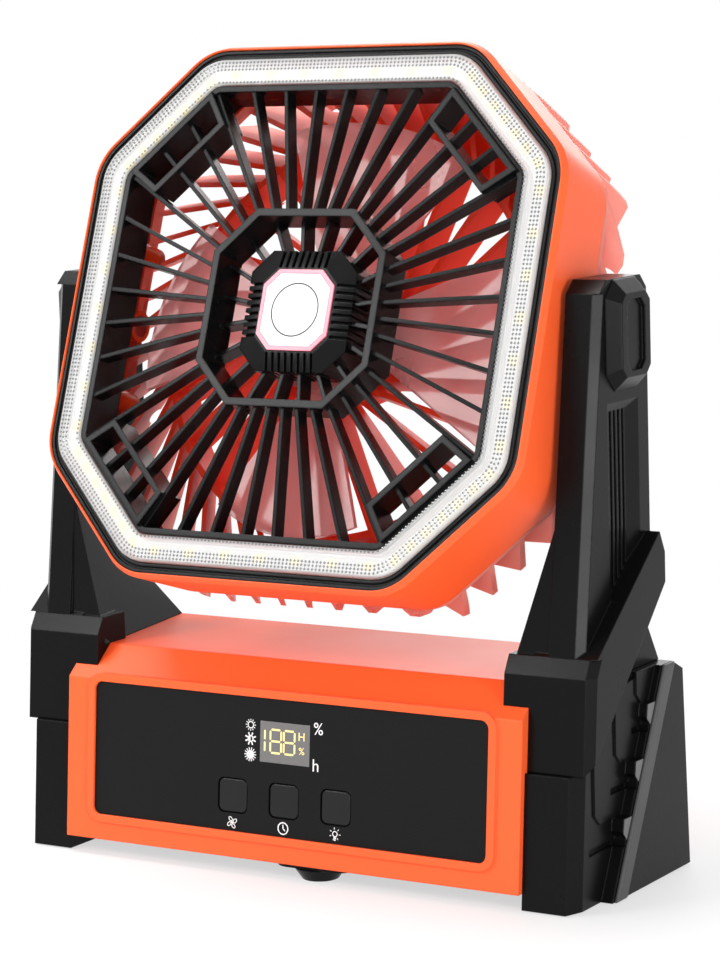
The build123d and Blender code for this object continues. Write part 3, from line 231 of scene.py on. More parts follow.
class FanStage(PropertyGroup):
    """Studio round the fan."""

    azimuth: FloatProperty(
        name="Azimuth", description="Camera to the right of the front", subtype="ANGLE", unit="ROTATION",
        default=math.radians(32.03))
    elevation: FloatProperty(
        name="Elevation", description="Camera above the horizon", subtype="ANGLE", unit="ROTATION",
        default=math.radians(7.97))
    roll: FloatProperty(
        name="Roll", description="Turn of the camera about its own view", subtype="ANGLE", unit="ROTATION",
        default=math.radians(-1.68))
    distance: FloatProperty(
        name="Distance", description="Camera to the point that it looks at", subtype="DISTANCE", unit="LENGTH",
        default=1118 * MM)
    lens: FloatProperty(name="Lens", description="Focal length in millimetres on a 36 mm sensor", default=116.2)
    floor: FloatProperty(
        name="Floor", description="Radius of the floor", subtype="DISTANCE", unit="LENGTH", default=6.0)
    world: FloatProperty(name="World", description="Strength of the light from all round", default=0.4)
    key: FloatProperty(
        name="Key", description="Power of the softbox beside the camera", subtype="POWER", default=7.0)
    left: FloatProperty(
        name="Left", description="Power of the softbox on the left", subtype="POWER", default=8.5)
    right: FloatProperty(
        name="Right", description="Power of the softbox on the right", subtype="POWER", default=7.0)
    top: FloatProperty(
        name="Top", description="Power of the softbox high on the left", subtype="POWER", default=10.0)
    rim: FloatProperty(
        name="Rim", description="Power of the softbox behind", subtype="POWER", default=7.0)


class FanSettings(PropertyGroup):
    """Everything that a user may change."""

    colours: PointerProperty(type=FanColours)
    edges: PointerProperty(type=FanEdges)
    light: PointerProperty(type=FanLight)
    facets: PointerProperty(type=FanFacets)
    prints: PointerProperty(type=FanPrints)
    stage: PointerProperty(type=FanStage)


def settings():
    return bpy.context.scene.camping_fan


# Finishes


def moulding_group():
    """Tone, gloss and grain that change over a moulded surface."""
    group = bpy.data.node_groups.get("moulding")
    if group:
        return group
    grain_share = 0.5
    gloss_range = 0.16
    group = bpy.data.node_groups.new("moulding", "ShaderNodeTree")
    socket = group.interface.new_socket
    socket(name="Colour", in_out="INPUT", socket_type="NodeSocketColor")
    socket(name="Grain", in_out="INPUT", socket_type="NodeSocketFloat").default_value = 900
    socket(name="Spread", in_out="INPUT", socket_type="NodeSocketFloat").default_value = 0.1
    socket(name="Roughness", in_out="INPUT", socket_type="NodeSocketFloat").default_value = 0.45
    socket(name="Colour", in_out="OUTPUT", socket_type="NodeSocketColor")
    socket(name="Roughness", in_out="OUTPUT", socket_type="NodeSocketFloat")
    socket(name="Height", in_out="OUTPUT", socket_type="NodeSocketFloat")
    nodes = group.nodes
    link = group.links.new
    entry = nodes.new("NodeGroupInput")
    result = nodes.new("NodeGroupOutput")
    place = nodes.new("ShaderNodeTexCoord")
    grain = nodes.new("ShaderNodeTexNoise")
    grain.inputs["Detail"].default_value = 3
    grain.inputs["Roughness"].default_value = 0.62
    cloud = nodes.new("ShaderNodeTexNoise")
    cloud.inputs["Scale"].default_value = 26
    cloud.inputs["Detail"].default_value = 4
    dark = nodes.new("ShaderNodeMix")
    dark.data_type = "RGBA"
    dark.blend_type = "MULTIPLY"
    dark.inputs["B"].default_value = (0.62, 0.62, 0.62, 1)
    shade = nodes.new("ShaderNodeMath")
    shade.operation = "MULTIPLY"
    speckle = nodes.new("ShaderNodeMath")
    speckle.operation = "MULTIPLY_ADD"
    speckle.inputs[1].default_value = grain_share
    gloss = nodes.new("ShaderNodeMath")
    gloss.operation = "MULTIPLY_ADD"
    gloss.inputs[1].default_value = gloss_range
    offset = nodes.new("ShaderNodeMath")
    offset.operation = "SUBTRACT"
    offset.inputs[1].default_value = gloss_range / 2
    link(place.outputs["Object"], grain.inputs["Vector"])
    link(place.outputs["Object"], cloud.inputs["Vector"])
    link(entry.outputs["Grain"], grain.inputs["Scale"])
    link(grain.outputs["Fac"], speckle.inputs[0])
    link(cloud.outputs["Fac"], speckle.inputs[2])
    link(speckle.outputs["Value"], shade.inputs[0])
    link(entry.outputs["Spread"], shade.inputs[1])
    link(shade.outputs["Value"], dark.inputs["Factor"])
    link(entry.outputs["Colour"], dark.inputs["A"])
    link(entry.outputs["Roughness"], offset.inputs[0])
    link(cloud.outputs["Fac"], gloss.inputs[0])
    link(offset.outputs["Value"], gloss.inputs[2])
    link(dark.outputs["Result"], result.inputs["Colour"])
    link(gloss.outputs["Value"], result.inputs["Roughness"])
    link(grain.outputs["Fac"], result.inputs["Height"])
    return group


def plastic(name, colour, roughness, grain=900, spread=0.12, depth=0.02, bump=0.25, shine=0.5, edge=0.0):
    """A moulded plastic with its own colour, gloss and grain, and a soft gleam along edges of the given radius."""
    material = bpy.data.materials.new(name)
    material.use_nodes = True
    nodes = material.node_tree.nodes
    link = material.node_tree.links.new
    shader = nodes["Principled BSDF"]
    shader.inputs["Specular IOR Level"].default_value = shine
    skin = nodes.new("ShaderNodeGroup")
    skin.node_tree = moulding_group()
    skin.inputs["Colour"].default_value = (*colour, 1)
    skin.inputs["Grain"].default_value = grain
    skin.inputs["Spread"].default_value = spread
    skin.inputs["Roughness"].default_value = roughness
    relief = nodes.new("ShaderNodeBump")
    relief.inputs["Strength"].default_value = bump
    relief.inputs["Distance"].default_value = depth * MM
    link(skin.outputs["Colour"], shader.inputs["Base Color"])
    link(skin.outputs["Roughness"], shader.inputs["Roughness"])
    link(skin.outputs["Height"], relief.inputs["Height"])
    link(relief.outputs["Normal"], shader.inputs["Normal"])
    if edge:
        gleam = nodes.new("ShaderNodeBevel")
        gleam.samples = 4
        gleam.inputs["Radius"].default_value = edge * MM
        link(gleam.outputs["Normal"], relief.inputs["Normal"])
    return material


def metal(name, colour, roughness, scale):
    """A bare or plated metal with fine drawn marks."""
    material = plastic(name, colour, roughness, grain=scale, spread=0.3, depth=0.01)
    material.node_tree.nodes["Principled BSDF"].inputs["Metallic"].default_value = 1
    return material


def orange_shell():
    return plastic(
        "orange_shell", settings().colours.shell, 0.4, grain=1500, spread=0.06, depth=0.012, bump=0.2, shine=0.32,
        edge=0.8)


def let_light_through(material, share, ior, softness, spread, reach):
    """Lets a share of the light pass, and the rest spread under the surface as far as the given millimetres."""
    shader = material.node_tree.nodes["Principled BSDF"]
    shader.inputs["Transmission Weight"].default_value = share
    shader.inputs["IOR"].default_value = ior
    shader.inputs["Subsurface Weight"].default_value = softness
    shader.inputs["Subsurface Radius"].default_value = spread
    shader.inputs["Subsurface Scale"].default_value = reach * MM


def glow(material, colour, strength):
    """Makes a finish give off a little light."""
    shader = material.node_tree.nodes["Principled BSDF"]
    shader.inputs["Emission Color"].default_value = (*colour, 1)
    shader.inputs["Emission Strength"].default_value = strength


def head_mapping(nodes):
    """A Mapping node that puts Object coordinates into the head's own frame."""
    mapping = nodes.new("ShaderNodeMapping")
    inverse = HEAD.inverted()
    mapping.inputs["Location"].default_value = inverse.translation
    mapping.inputs["Rotation"].default_value = inverse.to_euler()
    return mapping


def orange_guard():
    """The guard's colour turns paler towards the outer tips of its fins: painted light, standing in for the light
    that shines through the thin tips.
    """
    painted_light_from, painted_light_to = 84 * MM, 104 * MM
    colours = settings().colours
    material = plastic("orange_guard", colours.guard, 0.42, grain=1500, spread=0.06, depth=0.012)
    let_light_through(material, share=0.35, ior=1.15, softness=0.4, spread=(1.0, 0.3, 0.22), reach=3)
    nodes = material.node_tree.nodes
    link = material.node_tree.links.new
    skin = next(node for node in nodes if node.type == "GROUP")
    place = nodes.new("ShaderNodeTexCoord")
    into_head = head_mapping(nodes)
    reach = nodes.new("ShaderNodeVectorMath")
    reach.operation = "LENGTH"
    # Painted light: the share of the pale tip colour grows with distance from the head's axis.
    painted_tip_light = nodes.new("ShaderNodeMapRange")
    painted_tip_light.inputs["From Min"].default_value = painted_light_from
    painted_tip_light.inputs["From Max"].default_value = painted_light_to
    tone = nodes.new("ShaderNodeMix")
    tone.data_type = "RGBA"
    tone.inputs["A"].default_value = (*colours.guard, 1)
    tone.inputs["B"].default_value = (*colours.guard_tip_painted_light, 1)
    link(place.outputs["Object"], into_head.inputs["Vector"])
    link(into_head.outputs["Vector"], reach.inputs[0])
    link(reach.outputs["Value"], painted_tip_light.inputs["Value"])
    link(painted_tip_light.outputs["Result"], tone.inputs["Factor"])
    link(tone.outputs["Result"], skin.inputs["Colour"])
    return material


def blade_plastic():
    material = plastic("blade_plastic", settings().colours.blade, 0.3, grain=700, spread=0.08, depth=0.01)
    let_light_through(material, share=0.7, ior=1.1, softness=0.6, spread=(1.0, 0.7, 0.66), reach=4)
    return material


def black_plastic():
    return plastic(
        "black_plastic", settings().colours.black, 0.27, grain=1100, spread=0.5, depth=0.05, bump=0.5, shine=0.11,
        edge=0.7)


def charcoal_plastic():
    return plastic(
        "charcoal_plastic", settings().colours.charcoal, 0.5, grain=1300, spread=0.45, depth=0.03, bump=0.4,
        shine=0.3, edge=0.5)


def facet_grey():
    return plastic("facet_grey", (0.17, 0.17, 0.172), 0.5, grain=1300, spread=0.4, depth=0.03, bump=0.4, shine=0.3)


def fascia_black():
    """A fine grain, like that of linen."""
    weave_share = 0.6
    material = plastic(
        "fascia_black", settings().colours.fascia, 0.5, grain=1700, spread=0.9, depth=0.07, bump=0.8, shine=0.16)
    nodes = material.node_tree.nodes
    link = material.node_tree.links.new
    place = nodes.new("ShaderNodeTexCoord")
    weave = nodes.new("ShaderNodeTexVoronoi")
    weave.inputs["Scale"].default_value = 1250
    both = nodes.new("ShaderNodeMath")
    both.operation = "MULTIPLY_ADD"
    both.inputs[1].default_value = weave_share
    skin = next(node for node in nodes if node.type == "GROUP")
    relief = next(node for node in nodes if node.type == "BUMP")
    link(place.outputs["Object"], weave.inputs["Vector"])
    link(weave.outputs["Distance"], both.inputs[0])
    link(skin.outputs["Height"], both.inputs[2])
    link(both.outputs["Value"], relief.inputs["Height"])
    return material


def key_rubber():
    return plastic(
        "key_rubber", settings().colours.fascia, 0.36, grain=1500, spread=0.25, depth=0.015, shine=0.3, edge=0.6)


def prism_group():
    """Rows of fine prisms that run round the octagon of the lens."""
    group = bpy.data.node_groups.get("prism_rows")
    if group:
        return group
    group = bpy.data.node_groups.new("prism_rows", "ShaderNodeTree")
    socket = group.interface.new_socket
    socket(name="Vector", in_out="INPUT", socket_type="NodeSocketVector")
    socket(name="Pitch", in_out="INPUT", socket_type="NodeSocketFloat").default_value = 1.2 * MM
    socket(name="Height", in_out="OUTPUT", socket_type="NodeSocketFloat")
    nodes = group.nodes
    link = group.links.new

    def maths(operation, first, second=None):
        node = nodes.new("ShaderNodeMath")
        node.operation = operation
        for slot, value in enumerate((first, second)):
            if isinstance(value, (int, float)):
                node.inputs[slot].default_value = value
            elif value is not None:
                link(value, node.inputs[slot])
        return node.outputs["Value"]

    entry = nodes.new("NodeGroupInput")
    result = nodes.new("NodeGroupOutput")
    axes = nodes.new("ShaderNodeSeparateXYZ")
    link(entry.outputs["Vector"], axes.inputs["Vector"])
    across = maths("ABSOLUTE", axes.outputs["X"])
    up = maths("ABSOLUTE", axes.outputs["Y"])
    diagonal = maths("SUBTRACT", maths("DIVIDE", maths("ADD", across, up), math.sqrt(2)), OCTAGON_SLANT)
    ring = maths("MAXIMUM", maths("MAXIMUM", across, up), diagonal)
    turn = maths("DIVIDE", 2 * math.pi, entry.outputs["Pitch"])
    rows = maths("SINE", maths("MULTIPLY", ring, turn))
    columns = maths("SINE", maths("MULTIPLY", axes.outputs["X"], turn))
    lines = maths("SINE", maths("MULTIPLY", axes.outputs["Y"], turn))
    dots = maths("MULTIPLY", columns, lines)
    link(maths("ADD", rows, dots), result.inputs["Height"])
    return group


def lens_clear():
    """Clear moulded plastic with fine prisms."""
    material = bpy.data.materials.new("lens_clear")
    material.use_nodes = True
    nodes = material.node_tree.nodes
    link = material.node_tree.links.new
    shader = nodes["Principled BSDF"]
    shader.inputs["Base Color"].default_value = (0.84, 0.845, 0.85, 1)
    shader.inputs["Roughness"].default_value = 0.2
    shader.inputs["IOR"].default_value = 1.4
    shader.inputs["Alpha"].default_value = 0.4
    place = nodes.new("ShaderNodeTexCoord")
    into_head = head_mapping(nodes)
    prisms = nodes.new("ShaderNodeGroup")
    prisms.node_tree = prism_group()
    relief = nodes.new("ShaderNodeBump")
    relief.inputs["Strength"].default_value = 0.45
    relief.inputs["Distance"].default_value = 0.12 * MM
    link(place.outputs["Object"], into_head.inputs["Vector"])
    link(into_head.outputs["Vector"], prisms.inputs["Vector"])
    link(prisms.outputs["Height"], relief.inputs["Height"])
    link(relief.outputs["Normal"], shader.inputs["Normal"])
    return material


# Painted shade: the clear prisms are given a dark grey colour, standing in for the dark look that refraction gives
# them.
def prism_clear():
    material = plastic("prism_clear", (0.24, 0.245, 0.255), 0.15, grain=500, spread=0.3, depth=0.005)
    shader = material.node_tree.nodes["Principled BSDF"]
    shader.inputs["Transmission Weight"].default_value = 0.3
    return material


def window_smoke():
    return plastic("window_smoke", (0.17, 0.168, 0.165), 0.16, grain=300, spread=0.25, depth=0.004, bump=0.1)


def led_white():
    material = plastic("led_white", (0.9, 0.68, 0.12), 0.35, grain=1200, spread=0.2)
    glow(material, (1.0, 0.78, 0.16), 0.6)
    return material


def white_board():
    return plastic("white_board", (0.84, 0.84, 0.83), 0.4, grain=600, spread=0.1)


def green_board():
    return plastic("green_board", (0.03, 0.16, 0.07), 0.35, grain=800, spread=0.5)


def badge_white():
    return plastic("badge_white", (0.86, 0.86, 0.86), 0.3, grain=900, spread=0.05, depth=0.006)


def badge_pink():
    return plastic("badge_pink", settings().colours.badge, 0.3, grain=900, spread=0.08, depth=0.006)


def pad_rubber():
    return plastic("pad_rubber", (0.026, 0.026, 0.026), 0.75, grain=1600, spread=0.5, depth=0.05, bump=0.5)


def steel():
    return metal("steel", (0.56, 0.56, 0.57), roughness=0.32, scale=1800)


def bronze():
    return metal("bronze", (0.5, 0.33, 0.14), roughness=0.42, scale=2200)


def magnet():
    return plastic("magnet", (0.055, 0.055, 0.06), 0.5, grain=1600, spread=0.5, depth=0.04)


def cell_wrap():
    return plastic("cell_wrap", (0.04, 0.2, 0.32), 0.22, grain=200, spread=0.2)


def display_grey():
    return plastic("display_grey", (0.2, 0.2, 0.2), 0.4, grain=900, spread=0.2)


def white_ink():
    return plastic("white_ink", settings().colours.ink, 0.55, grain=2600, spread=0.12, depth=0.006)


def grey_ink():
    return plastic("grey_ink", (0.05, 0.05, 0.052), 0.5, grain=2600, spread=0.2, depth=0.006)


def lit_digit():
    colour = settings().colours.digit
    material = plastic("lit_digit", colour, 0.4, grain=2600, spread=0.1, depth=0.006)
    glow(material, colour, 0.3)
    return material


FINISHES = {
    make.__name__: make
    for make in (
        orange_shell, orange_guard, blade_plastic, black_plastic, charcoal_plastic, facet_grey, fascia_black,
        key_rubber, lens_clear, prism_clear, window_smoke, led_white, white_board, green_board, badge_white,
        badge_pink, pad_rubber, steel, bronze, magnet, cell_wrap, display_grey, white_ink, grey_ink, lit_digit,
    )
}


def finish(name):
    """The material of a finish, made the first time that it is asked for."""
    made = bpy.data.materials.get(name + "_finish")
    if not made:
        made = FINISHES[name]()
        made.name = name + "_finish"
    return made


# Pieces


def dress(node, name):
    """Gives a CAD node a finish."""
    piece = frame["nodes"][node]
    for holder in piece.material_slots:
        holder.material = finish(name)


def add_piece(name, mesh, body, finish_name):
    """Puts a finished mesh in the scene, on its body and in its material slot."""
    mesh.materials.clear()
    mesh.materials.append(finish(finish_name))
    piece = bpy.data.objects.new(name, mesh)
    bpy.context.scene.collection.objects.link(piece)
    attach(piece, body)
    return piece


def soften(node, finish_name, width, segments=2, sharp=30.0):
    """Stands a copy of a CAD node in its place, with the edges sharper than the given angle rounded."""
    merged = 0.002 * MM
    flat = math.radians(0.5)
    source = frame["nodes"][node]
    mesh = source.data.copy()
    own_normals = mesh.attributes.get("custom_normal")
    if own_normals:
        mesh.attributes.remove(own_normals)
    shape = bmesh.new()
    shape.from_mesh(mesh)
    bmesh.ops.remove_doubles(shape, verts=shape.verts, dist=merged)
    bmesh.ops.dissolve_degenerate(shape, edges=shape.edges, dist=merged)
    bmesh.ops.dissolve_limit(shape, angle_limit=flat, verts=shape.verts, edges=shape.edges)
    for face in shape.faces:
        face.smooth = True
    shape.to_mesh(mesh)
    shape.free()
    mesh.set_sharp_from_angle(angle=math.radians(sharp))
    piece = add_piece(node + "_soft", mesh, source["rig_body"], finish_name)
    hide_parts(node)
    if width:
        edges = piece.modifiers.new("edges", "BEVEL")
        edges.width = width
        edges.segments = segments
        edges.limit_method = "ANGLE"
        edges.angle_limit = math.radians(sharp)
        edges.harden_normals = True
        edges.use_clamp_overlap = True
        edges.miter_outer = "MITER_SHARP"


def thicken(shape, offset):
    """Makes flat faces solid, from where they lie to the given offset."""
    grown = bmesh.ops.extrude_face_region(shape, geom=shape.faces[:])
    moved = [part for part in grown["geom"] if isinstance(part, bmesh.types.BMVert)]
    bmesh.ops.translate(shape, verts=moved, vec=offset)
    bmesh.ops.recalc_face_normals(shape, faces=shape.faces)


def mesh_of(name, shape):
    """A mesh with the form of a bmesh, which is freed."""
    mesh = bpy.data.meshes.new(name)
    shape.to_mesh(mesh)
    shape.free()
    return mesh


def print_piece(name, shape, place, thickness, body, finish_name, slot):
    """A flat print, laid on a placement."""
    thicken(shape, (0, 0, thickness))
    bmesh.ops.transform(shape, matrix=place, verts=shape.verts)
    add_piece(name, mesh_of(name, shape), body, finish_name)


def at(x, y, turn=0.0, width=1.0, height=1.0):
    """Placement in a print: moved, turned and stretched, lengths in millimetres."""
    stretch = Matrix.Diagonal((width * MM, height * MM, MM, 1))
    return Matrix.Translation((x * MM, y * MM, 0)) @ Matrix.Rotation(math.radians(turn), 4, "Z") @ stretch


def bar(shape, x, y, length, width, turn=0.0, cut=0.0):
    """A straight stroke, its corners cut off where a cut is given."""
    made = bmesh.ops.create_grid(
        shape, x_segments=1, y_segments=1, size=0.5, matrix=at(x, y, turn, length, width))
    if cut:
        bmesh.ops.bevel(
            shape, geom=made["verts"], offset=cut * MM, offset_type="OFFSET", segments=1, profile=0.5,
            affect="VERTICES", material=-1)


def disc(shape, x, y, radius, segments=24):
    bmesh.ops.create_circle(shape, cap_ends=True, segments=segments, radius=radius, matrix=at(x, y))


def loop(shape, x, y, width, height, stroke, turn=0.0, segments=32):
    """A round or oval outline."""
    edges = []
    for inset in (0, stroke):
        place = at(x, y, turn, width / 2 - inset, height / 2 - inset)
        made = bmesh.ops.create_circle(shape, cap_ends=False, segments=segments, radius=1, matrix=place)
        edges += {edge for vertex in made["verts"] for edge in vertex.link_edges}
    bmesh.ops.bridge_loops(shape, edges=edges)


def rays(shape, x, y, count, inner, outer, stroke, first=0.0):
    """Short strokes that run outwards round a middle."""
    for index in range(count):
        turn = first + 360 * index / count
        reach = (inner + outer) / 2
        bar(
            shape, x + reach * math.cos(math.radians(turn)), y + reach * math.sin(math.radians(turn)),
            outer - inner, stroke, turn)


def letter(name, sign, x, y, size, place, thickness, body, finish_name, slot):
    """One plain character, made a mesh and laid on a placement."""
    curve = bpy.data.curves.new(name + "_line", "FONT")
    curve.body = sign
    curve.size = size * MM
    curve.align_x = "CENTER"
    curve.align_y = "CENTER"
    curve.extrude = thickness / 2
    line = bpy.data.objects.new(name + "_line", curve)
    bpy.context.scene.collection.objects.link(line)
    bpy.context.view_layer.update()
    mesh = bpy.data.meshes.new_from_object(line.evaluated_get(bpy.context.evaluated_depsgraph_get()))
    bpy.data.objects.remove(line)
    bpy.data.curves.remove(curve)
    mesh.name = name
    mesh.transform(place @ Matrix.Translation((x * MM, y * MM, thickness / 2)))
    add_piece(name, mesh, body, finish_name)


class FAN_OT_base_housing(Operator):
    """Rounds and colours the base housing and its feet"""

    bl_idname = "camping_fan.base_housing"
    bl_label = "Base housing"

    def execute(self, context):
        edges = settings().edges
        soften("base_shell", "orange_shell", edges.housing, segments=3)
        soften("front_foot", "black_plastic", edges.small)
        soften("foot_pads", "pad_rubber", edges.small)
        dress("base_floor", "black_plastic")
        return {"FINISHED"}


class FAN_OT_control_fascia(Operator):
    """Gives the control fascia, its keys and its display window their finish"""

    bl_idname = "camping_fan.control_fascia"
    bl_label = "Control fascia"

    def execute(self, context):
        edges = settings().edges
        soften("control_fascia", "fascia_black", edges.small)
        soften("display_window", "window_smoke", edges.small / 2)
        for node in ("fan_button", "timer_button", "light_button"):
            soften(node, "key_rubber", edges.small, segments=3)
        return {"FINISHED"}


class FAN_OT_display_digits(Operator):
    """Lays the digits and unit signs on the display"""

    bl_idname = "camping_fan.display_digits"
    bl_label = "Display digits"

    def execute(self, context):
        prints = settings().prints
        width = prints.segment / MM
        cut = width * 0.35
        place = FACE @ Matrix.Translation((0, 0, front_of("display_window", FACE)))
        on_display = {
            "place": place, "thickness": prints.thickness, "body": "base", "finish_name": "lit_digit",
            "slot": "display_grey"}
        half = 2.25
        middle = 42.8
        rise = 4.1
        one = -8.3 - half
        eights = (-3.7, 1.9)
        shape = bmesh.new()
        for x in (one, *eights):
            for side in (-1, 1):
                y = middle + side * rise / 2
                bar(shape, x + half, y, rise - width, width, turn=90, cut=cut)
                if x in eights:
                    bar(shape, x - half, y, rise - width, width, turn=90, cut=cut)
            if x in eights:
                for y in (middle - rise, middle, middle + rise):
                    bar(shape, x, y, 2 * half - width, width, cut=cut)
        print_piece("display_digits", shape, **on_display)
        letter("display_hours", "H", x=7.0, y=45.2, size=4.2, **on_display)
        letter("display_percent", "%", x=7.1, y=40.2, size=3.6, **on_display)
        return {"FINISHED"}


class FAN_OT_printed_symbols(Operator):
    """Prints the brightness suns, the unit signs and the key symbols on the fascia"""

    bl_idname = "camping_fan.printed_symbols"
    bl_label = "Printed symbols"

    def execute(self, context):
        prints = settings().prints
        line = prints.stroke / MM
        place = FACE @ Matrix.Translation((0, 0, front_of("control_fascia", FACE)))
        on_fascia = {
            "place": place, "thickness": prints.thickness, "body": "base", "finish_name": "white_ink",
            "slot": "fascia_black"}
        sun_x = -14.3
        dim, medium, bright = 47.8, 42.9, 37.3
        suns = bmesh.new()
        loop(suns, sun_x, dim, width=2.6, height=2.6, stroke=line * 0.8)
        rays(suns, sun_x, dim, count=12, inner=1.5, outer=2.1, stroke=line * 0.7)
        loop(suns, sun_x, medium, width=2.5, height=2.5, stroke=line)
        bar(suns, sun_x - 0.4, medium, length=1.7, width=0.75, turn=90)
        rays(suns, sun_x, medium, count=8, inner=1.35, outer=2.35, stroke=line * 1.25, first=22.5)
        disc(suns, sun_x, bright, radius=1.45)
        rays(suns, sun_x, bright, count=14, inner=1.35, outer=2.5, stroke=line * 0.8)
        print_piece("sun_symbols", suns, **on_fascia)
        letter("percent_sign", "%", x=13.9, y=48.6, size=6.0, **on_fascia)
        letter("hour_sign", "h", x=13.0, y=35.7, size=6.2, **on_fascia)
        key_x = 21.5
        fan_y, clock_y, bulb_y = 12.4, 12.5, 12.9
        fan = bmesh.new()
        reach = 1.35
        lag = 18
        for turn in (45, 135, 225, 315):
            x = -key_x + reach * math.cos(math.radians(turn - lag))
            y = fan_y + reach * math.sin(math.radians(turn - lag))
            loop(fan, x, y, width=2.0, height=1.45, stroke=line * 0.7, turn=turn)
        disc(fan, -key_x, fan_y, radius=0.35)
        print_piece("fan_symbol", fan, **on_fascia)
        clock = bmesh.new()
        loop(clock, 0, clock_y, width=4.5, height=4.5, stroke=line)
        bar(clock, 0, clock_y + 0.65, length=1.5, width=line, turn=90)
        bar(clock, 0.45, clock_y - 0.4, length=1.15, width=line, turn=-42)
        print_piece("clock_symbol", clock, **on_fascia)
        bulb = bmesh.new()
        loop(bulb, key_x, bulb_y, width=2.2, height=2.2, stroke=line * 0.8)
        bar(bulb, key_x, bulb_y - 1.45, length=1.0, width=line * 1.6)
        bar(bulb, key_x, bulb_y - 2.15, length=0.7, width=line * 0.9)
        rays(bulb, key_x, bulb_y, count=7, inner=1.6, outer=2.3, stroke=line * 0.6, first=-30 + 360 / 14)
        print_piece("bulb_symbol", bulb, **on_fascia)
        return {"FINISHED"}


class FAN_OT_end_caps(Operator):
    """Rounds and colours the end caps and their rails"""

    bl_idname = "camping_fan.end_caps"
    bl_label = "End caps and rails"

    def execute(self, context):
        edges = settings().edges
        for side in ("left", "right"):
            soften("end_cap_" + side, "black_plastic", edges.arm, segments=3, sharp=CAP_FACETS)
            soften("side_rail_" + side, "charcoal_plastic", edges.small)
            add_facets(side)
        return {"FINISHED"}


def add_facets(side):
    """The grey plates beside one rail, their outer lower corners cut off."""
    facets = settings().facets
    low, high = (Vector(corner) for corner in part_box("side_rail_" + side))
    rail_width = 7.5 * MM
    slope = (high.y - low.y - rail_width) / (high.z - low.z)
    ledge = 0.6 * MM
    inner = high.x if side == "left" else low.x
    outwards = -1 if side == "left" else 1
    shape = bmesh.new()
    for index in range(facets.count):
        top = facets.top - index * facets.step
        bottom = top - facets.height
        near = [low.y + slope * (z - low.z) - ledge for z in (top, bottom)]
        cut = facets.width / 2
        corners = (
            (near[0] - facets.width - cut / 3, top), (near[0], top),
            (near[1], bottom), (near[1] - cut, bottom + cut))
        shape.faces.new([shape.verts.new((inner, y, z)) for y, z in corners])
    thicken(shape, (outwards * facets.thickness, 0, 0))
    name = "side_facets_" + side
    add_piece(name, mesh_of(name, shape), "base", "facet_grey")


class FAN_OT_arms(Operator):
    """Rounds and colours the arms, their covers and the pivot caps"""

    bl_idname = "camping_fan.arms"
    bl_label = "Arms and pivot caps"

    def execute(self, context):
        edges = settings().edges
        for side in ("left", "right"):
            soften("arm_" + side, "black_plastic", edges.arm, segments=3, sharp=ARM_FACETS)
            soften("arm_cover_" + side, "black_plastic", edges.small)
            soften("pivot_cap_" + side, "black_plastic", edges.small)
        return {"FINISHED"}


class FAN_OT_head_shell(Operator):
    """Rounds and colours the head's shell and the trim round the lens"""

    bl_idname = "camping_fan.head_shell"
    bl_label = "Head shell and trim"

    def execute(self, context):
        edges = settings().edges
        soften("head_shell", "orange_shell", edges.housing)
        soften("lens_trim", "black_plastic", edges.small)
        return {"FINISHED"}


class FAN_OT_ring_light(Operator):
    """Clears the lens, lays its rows of prisms and colours the light chips behind it"""

    bl_idname = "camping_fan.ring_light"
    bl_label = "Ring light"

    def execute(self, context):
        light = settings().light
        soften("lens_ring", "lens_clear", 0)
        dress("led_board", "white_board")
        dress("led_chips", "led_white")
        front = front_of("lens_ring", HEAD)
        foot, tip = light.prism * 0.7, light.prism * 0.1
        height = light.prism / 4
        shape = bmesh.new()
        rows = [light.outer_row - row * light.row_step for row in range(light.rows)]
        for half in (*rows, light.inner_row):
            for place in octagon_places(half, light.pitch):
                lift = Matrix.Translation((0, 0, front + height / 2)) @ place
                bmesh.ops.create_cone(
                    shape, cap_ends=False, segments=4, radius1=foot, radius2=tip, depth=height,
                    matrix=HEAD @ lift)
        add_piece("lens_prisms", mesh_of("lens_prisms", shape), "head", "prism_clear")
        return {"FINISHED"}


def octagon_places(half, pitch):
    """Placements at even steps along a rounded octagon that runs parallel to the lens."""
    leg = OCTAGON_LEG + (half - OCTAGON_HALF) * (2 - math.sqrt(2))
    radius = OCTAGON_ROUNDING + half - OCTAGON_HALF
    trim = radius * math.tan(math.pi / 8)
    places = []
    for side in range(8):
        length = (math.sqrt(2) * leg if side % 2 else 2 * (half - leg)) - 2 * trim
        reach = (2 * half - leg) / math.sqrt(2) if side % 2 else half
        turn = Matrix.Rotation(math.pi / 4 * side, 4, "Z")
        for index in range(int(length / pitch)):
            along = (index + 0.5) * length / int(length / pitch) - length / 2
            places.append(turn @ Matrix.Translation((along, reach, 0)))
        arc = radius * math.pi / 4
        for index in range(int(arc / pitch)):
            angle = (index + 0.5) * math.pi / 4 / int(arc / pitch)
            middle = Matrix.Translation((-length / 2, reach - radius, 0))
            places.append(turn @ middle @ Matrix.Rotation(angle, 4, "Z") @ Matrix.Translation((0, radius, 0)))
    return places


class FAN_OT_front_grille(Operator):
    """Rounds and colours the front grille and its badge"""

    bl_idname = "camping_fan.front_grille"
    bl_label = "Front grille and badge"

    def execute(self, context):
        edges = settings().edges
        soften("front_grille", "black_plastic", edges.rib, segments=1)
        soften("badge_border", "badge_pink", edges.small / 2)
        soften("badge_plate", "badge_white", edges.small / 2)
        prints = settings().prints
        shape = bmesh.new()
        loop(shape, 0, 0, width=19.5, height=19.5, stroke=0.55, segments=64)
        place = HEAD @ Matrix.Translation((0, 0, front_of("badge_plate", HEAD)))
        print_piece("badge_ring", shape, place, prints.thickness, "head", "grey_ink", "badge_white")
        return {"FINISHED"}


class FAN_OT_rear_guard(Operator):
    """Rounds and colours the rear guard"""

    bl_idname = "camping_fan.rear_guard"
    bl_label = "Rear guard"

    def execute(self, context):
        soften("rear_guard", "orange_guard", settings().edges.rib, segments=1)
        return {"FINISHED"}


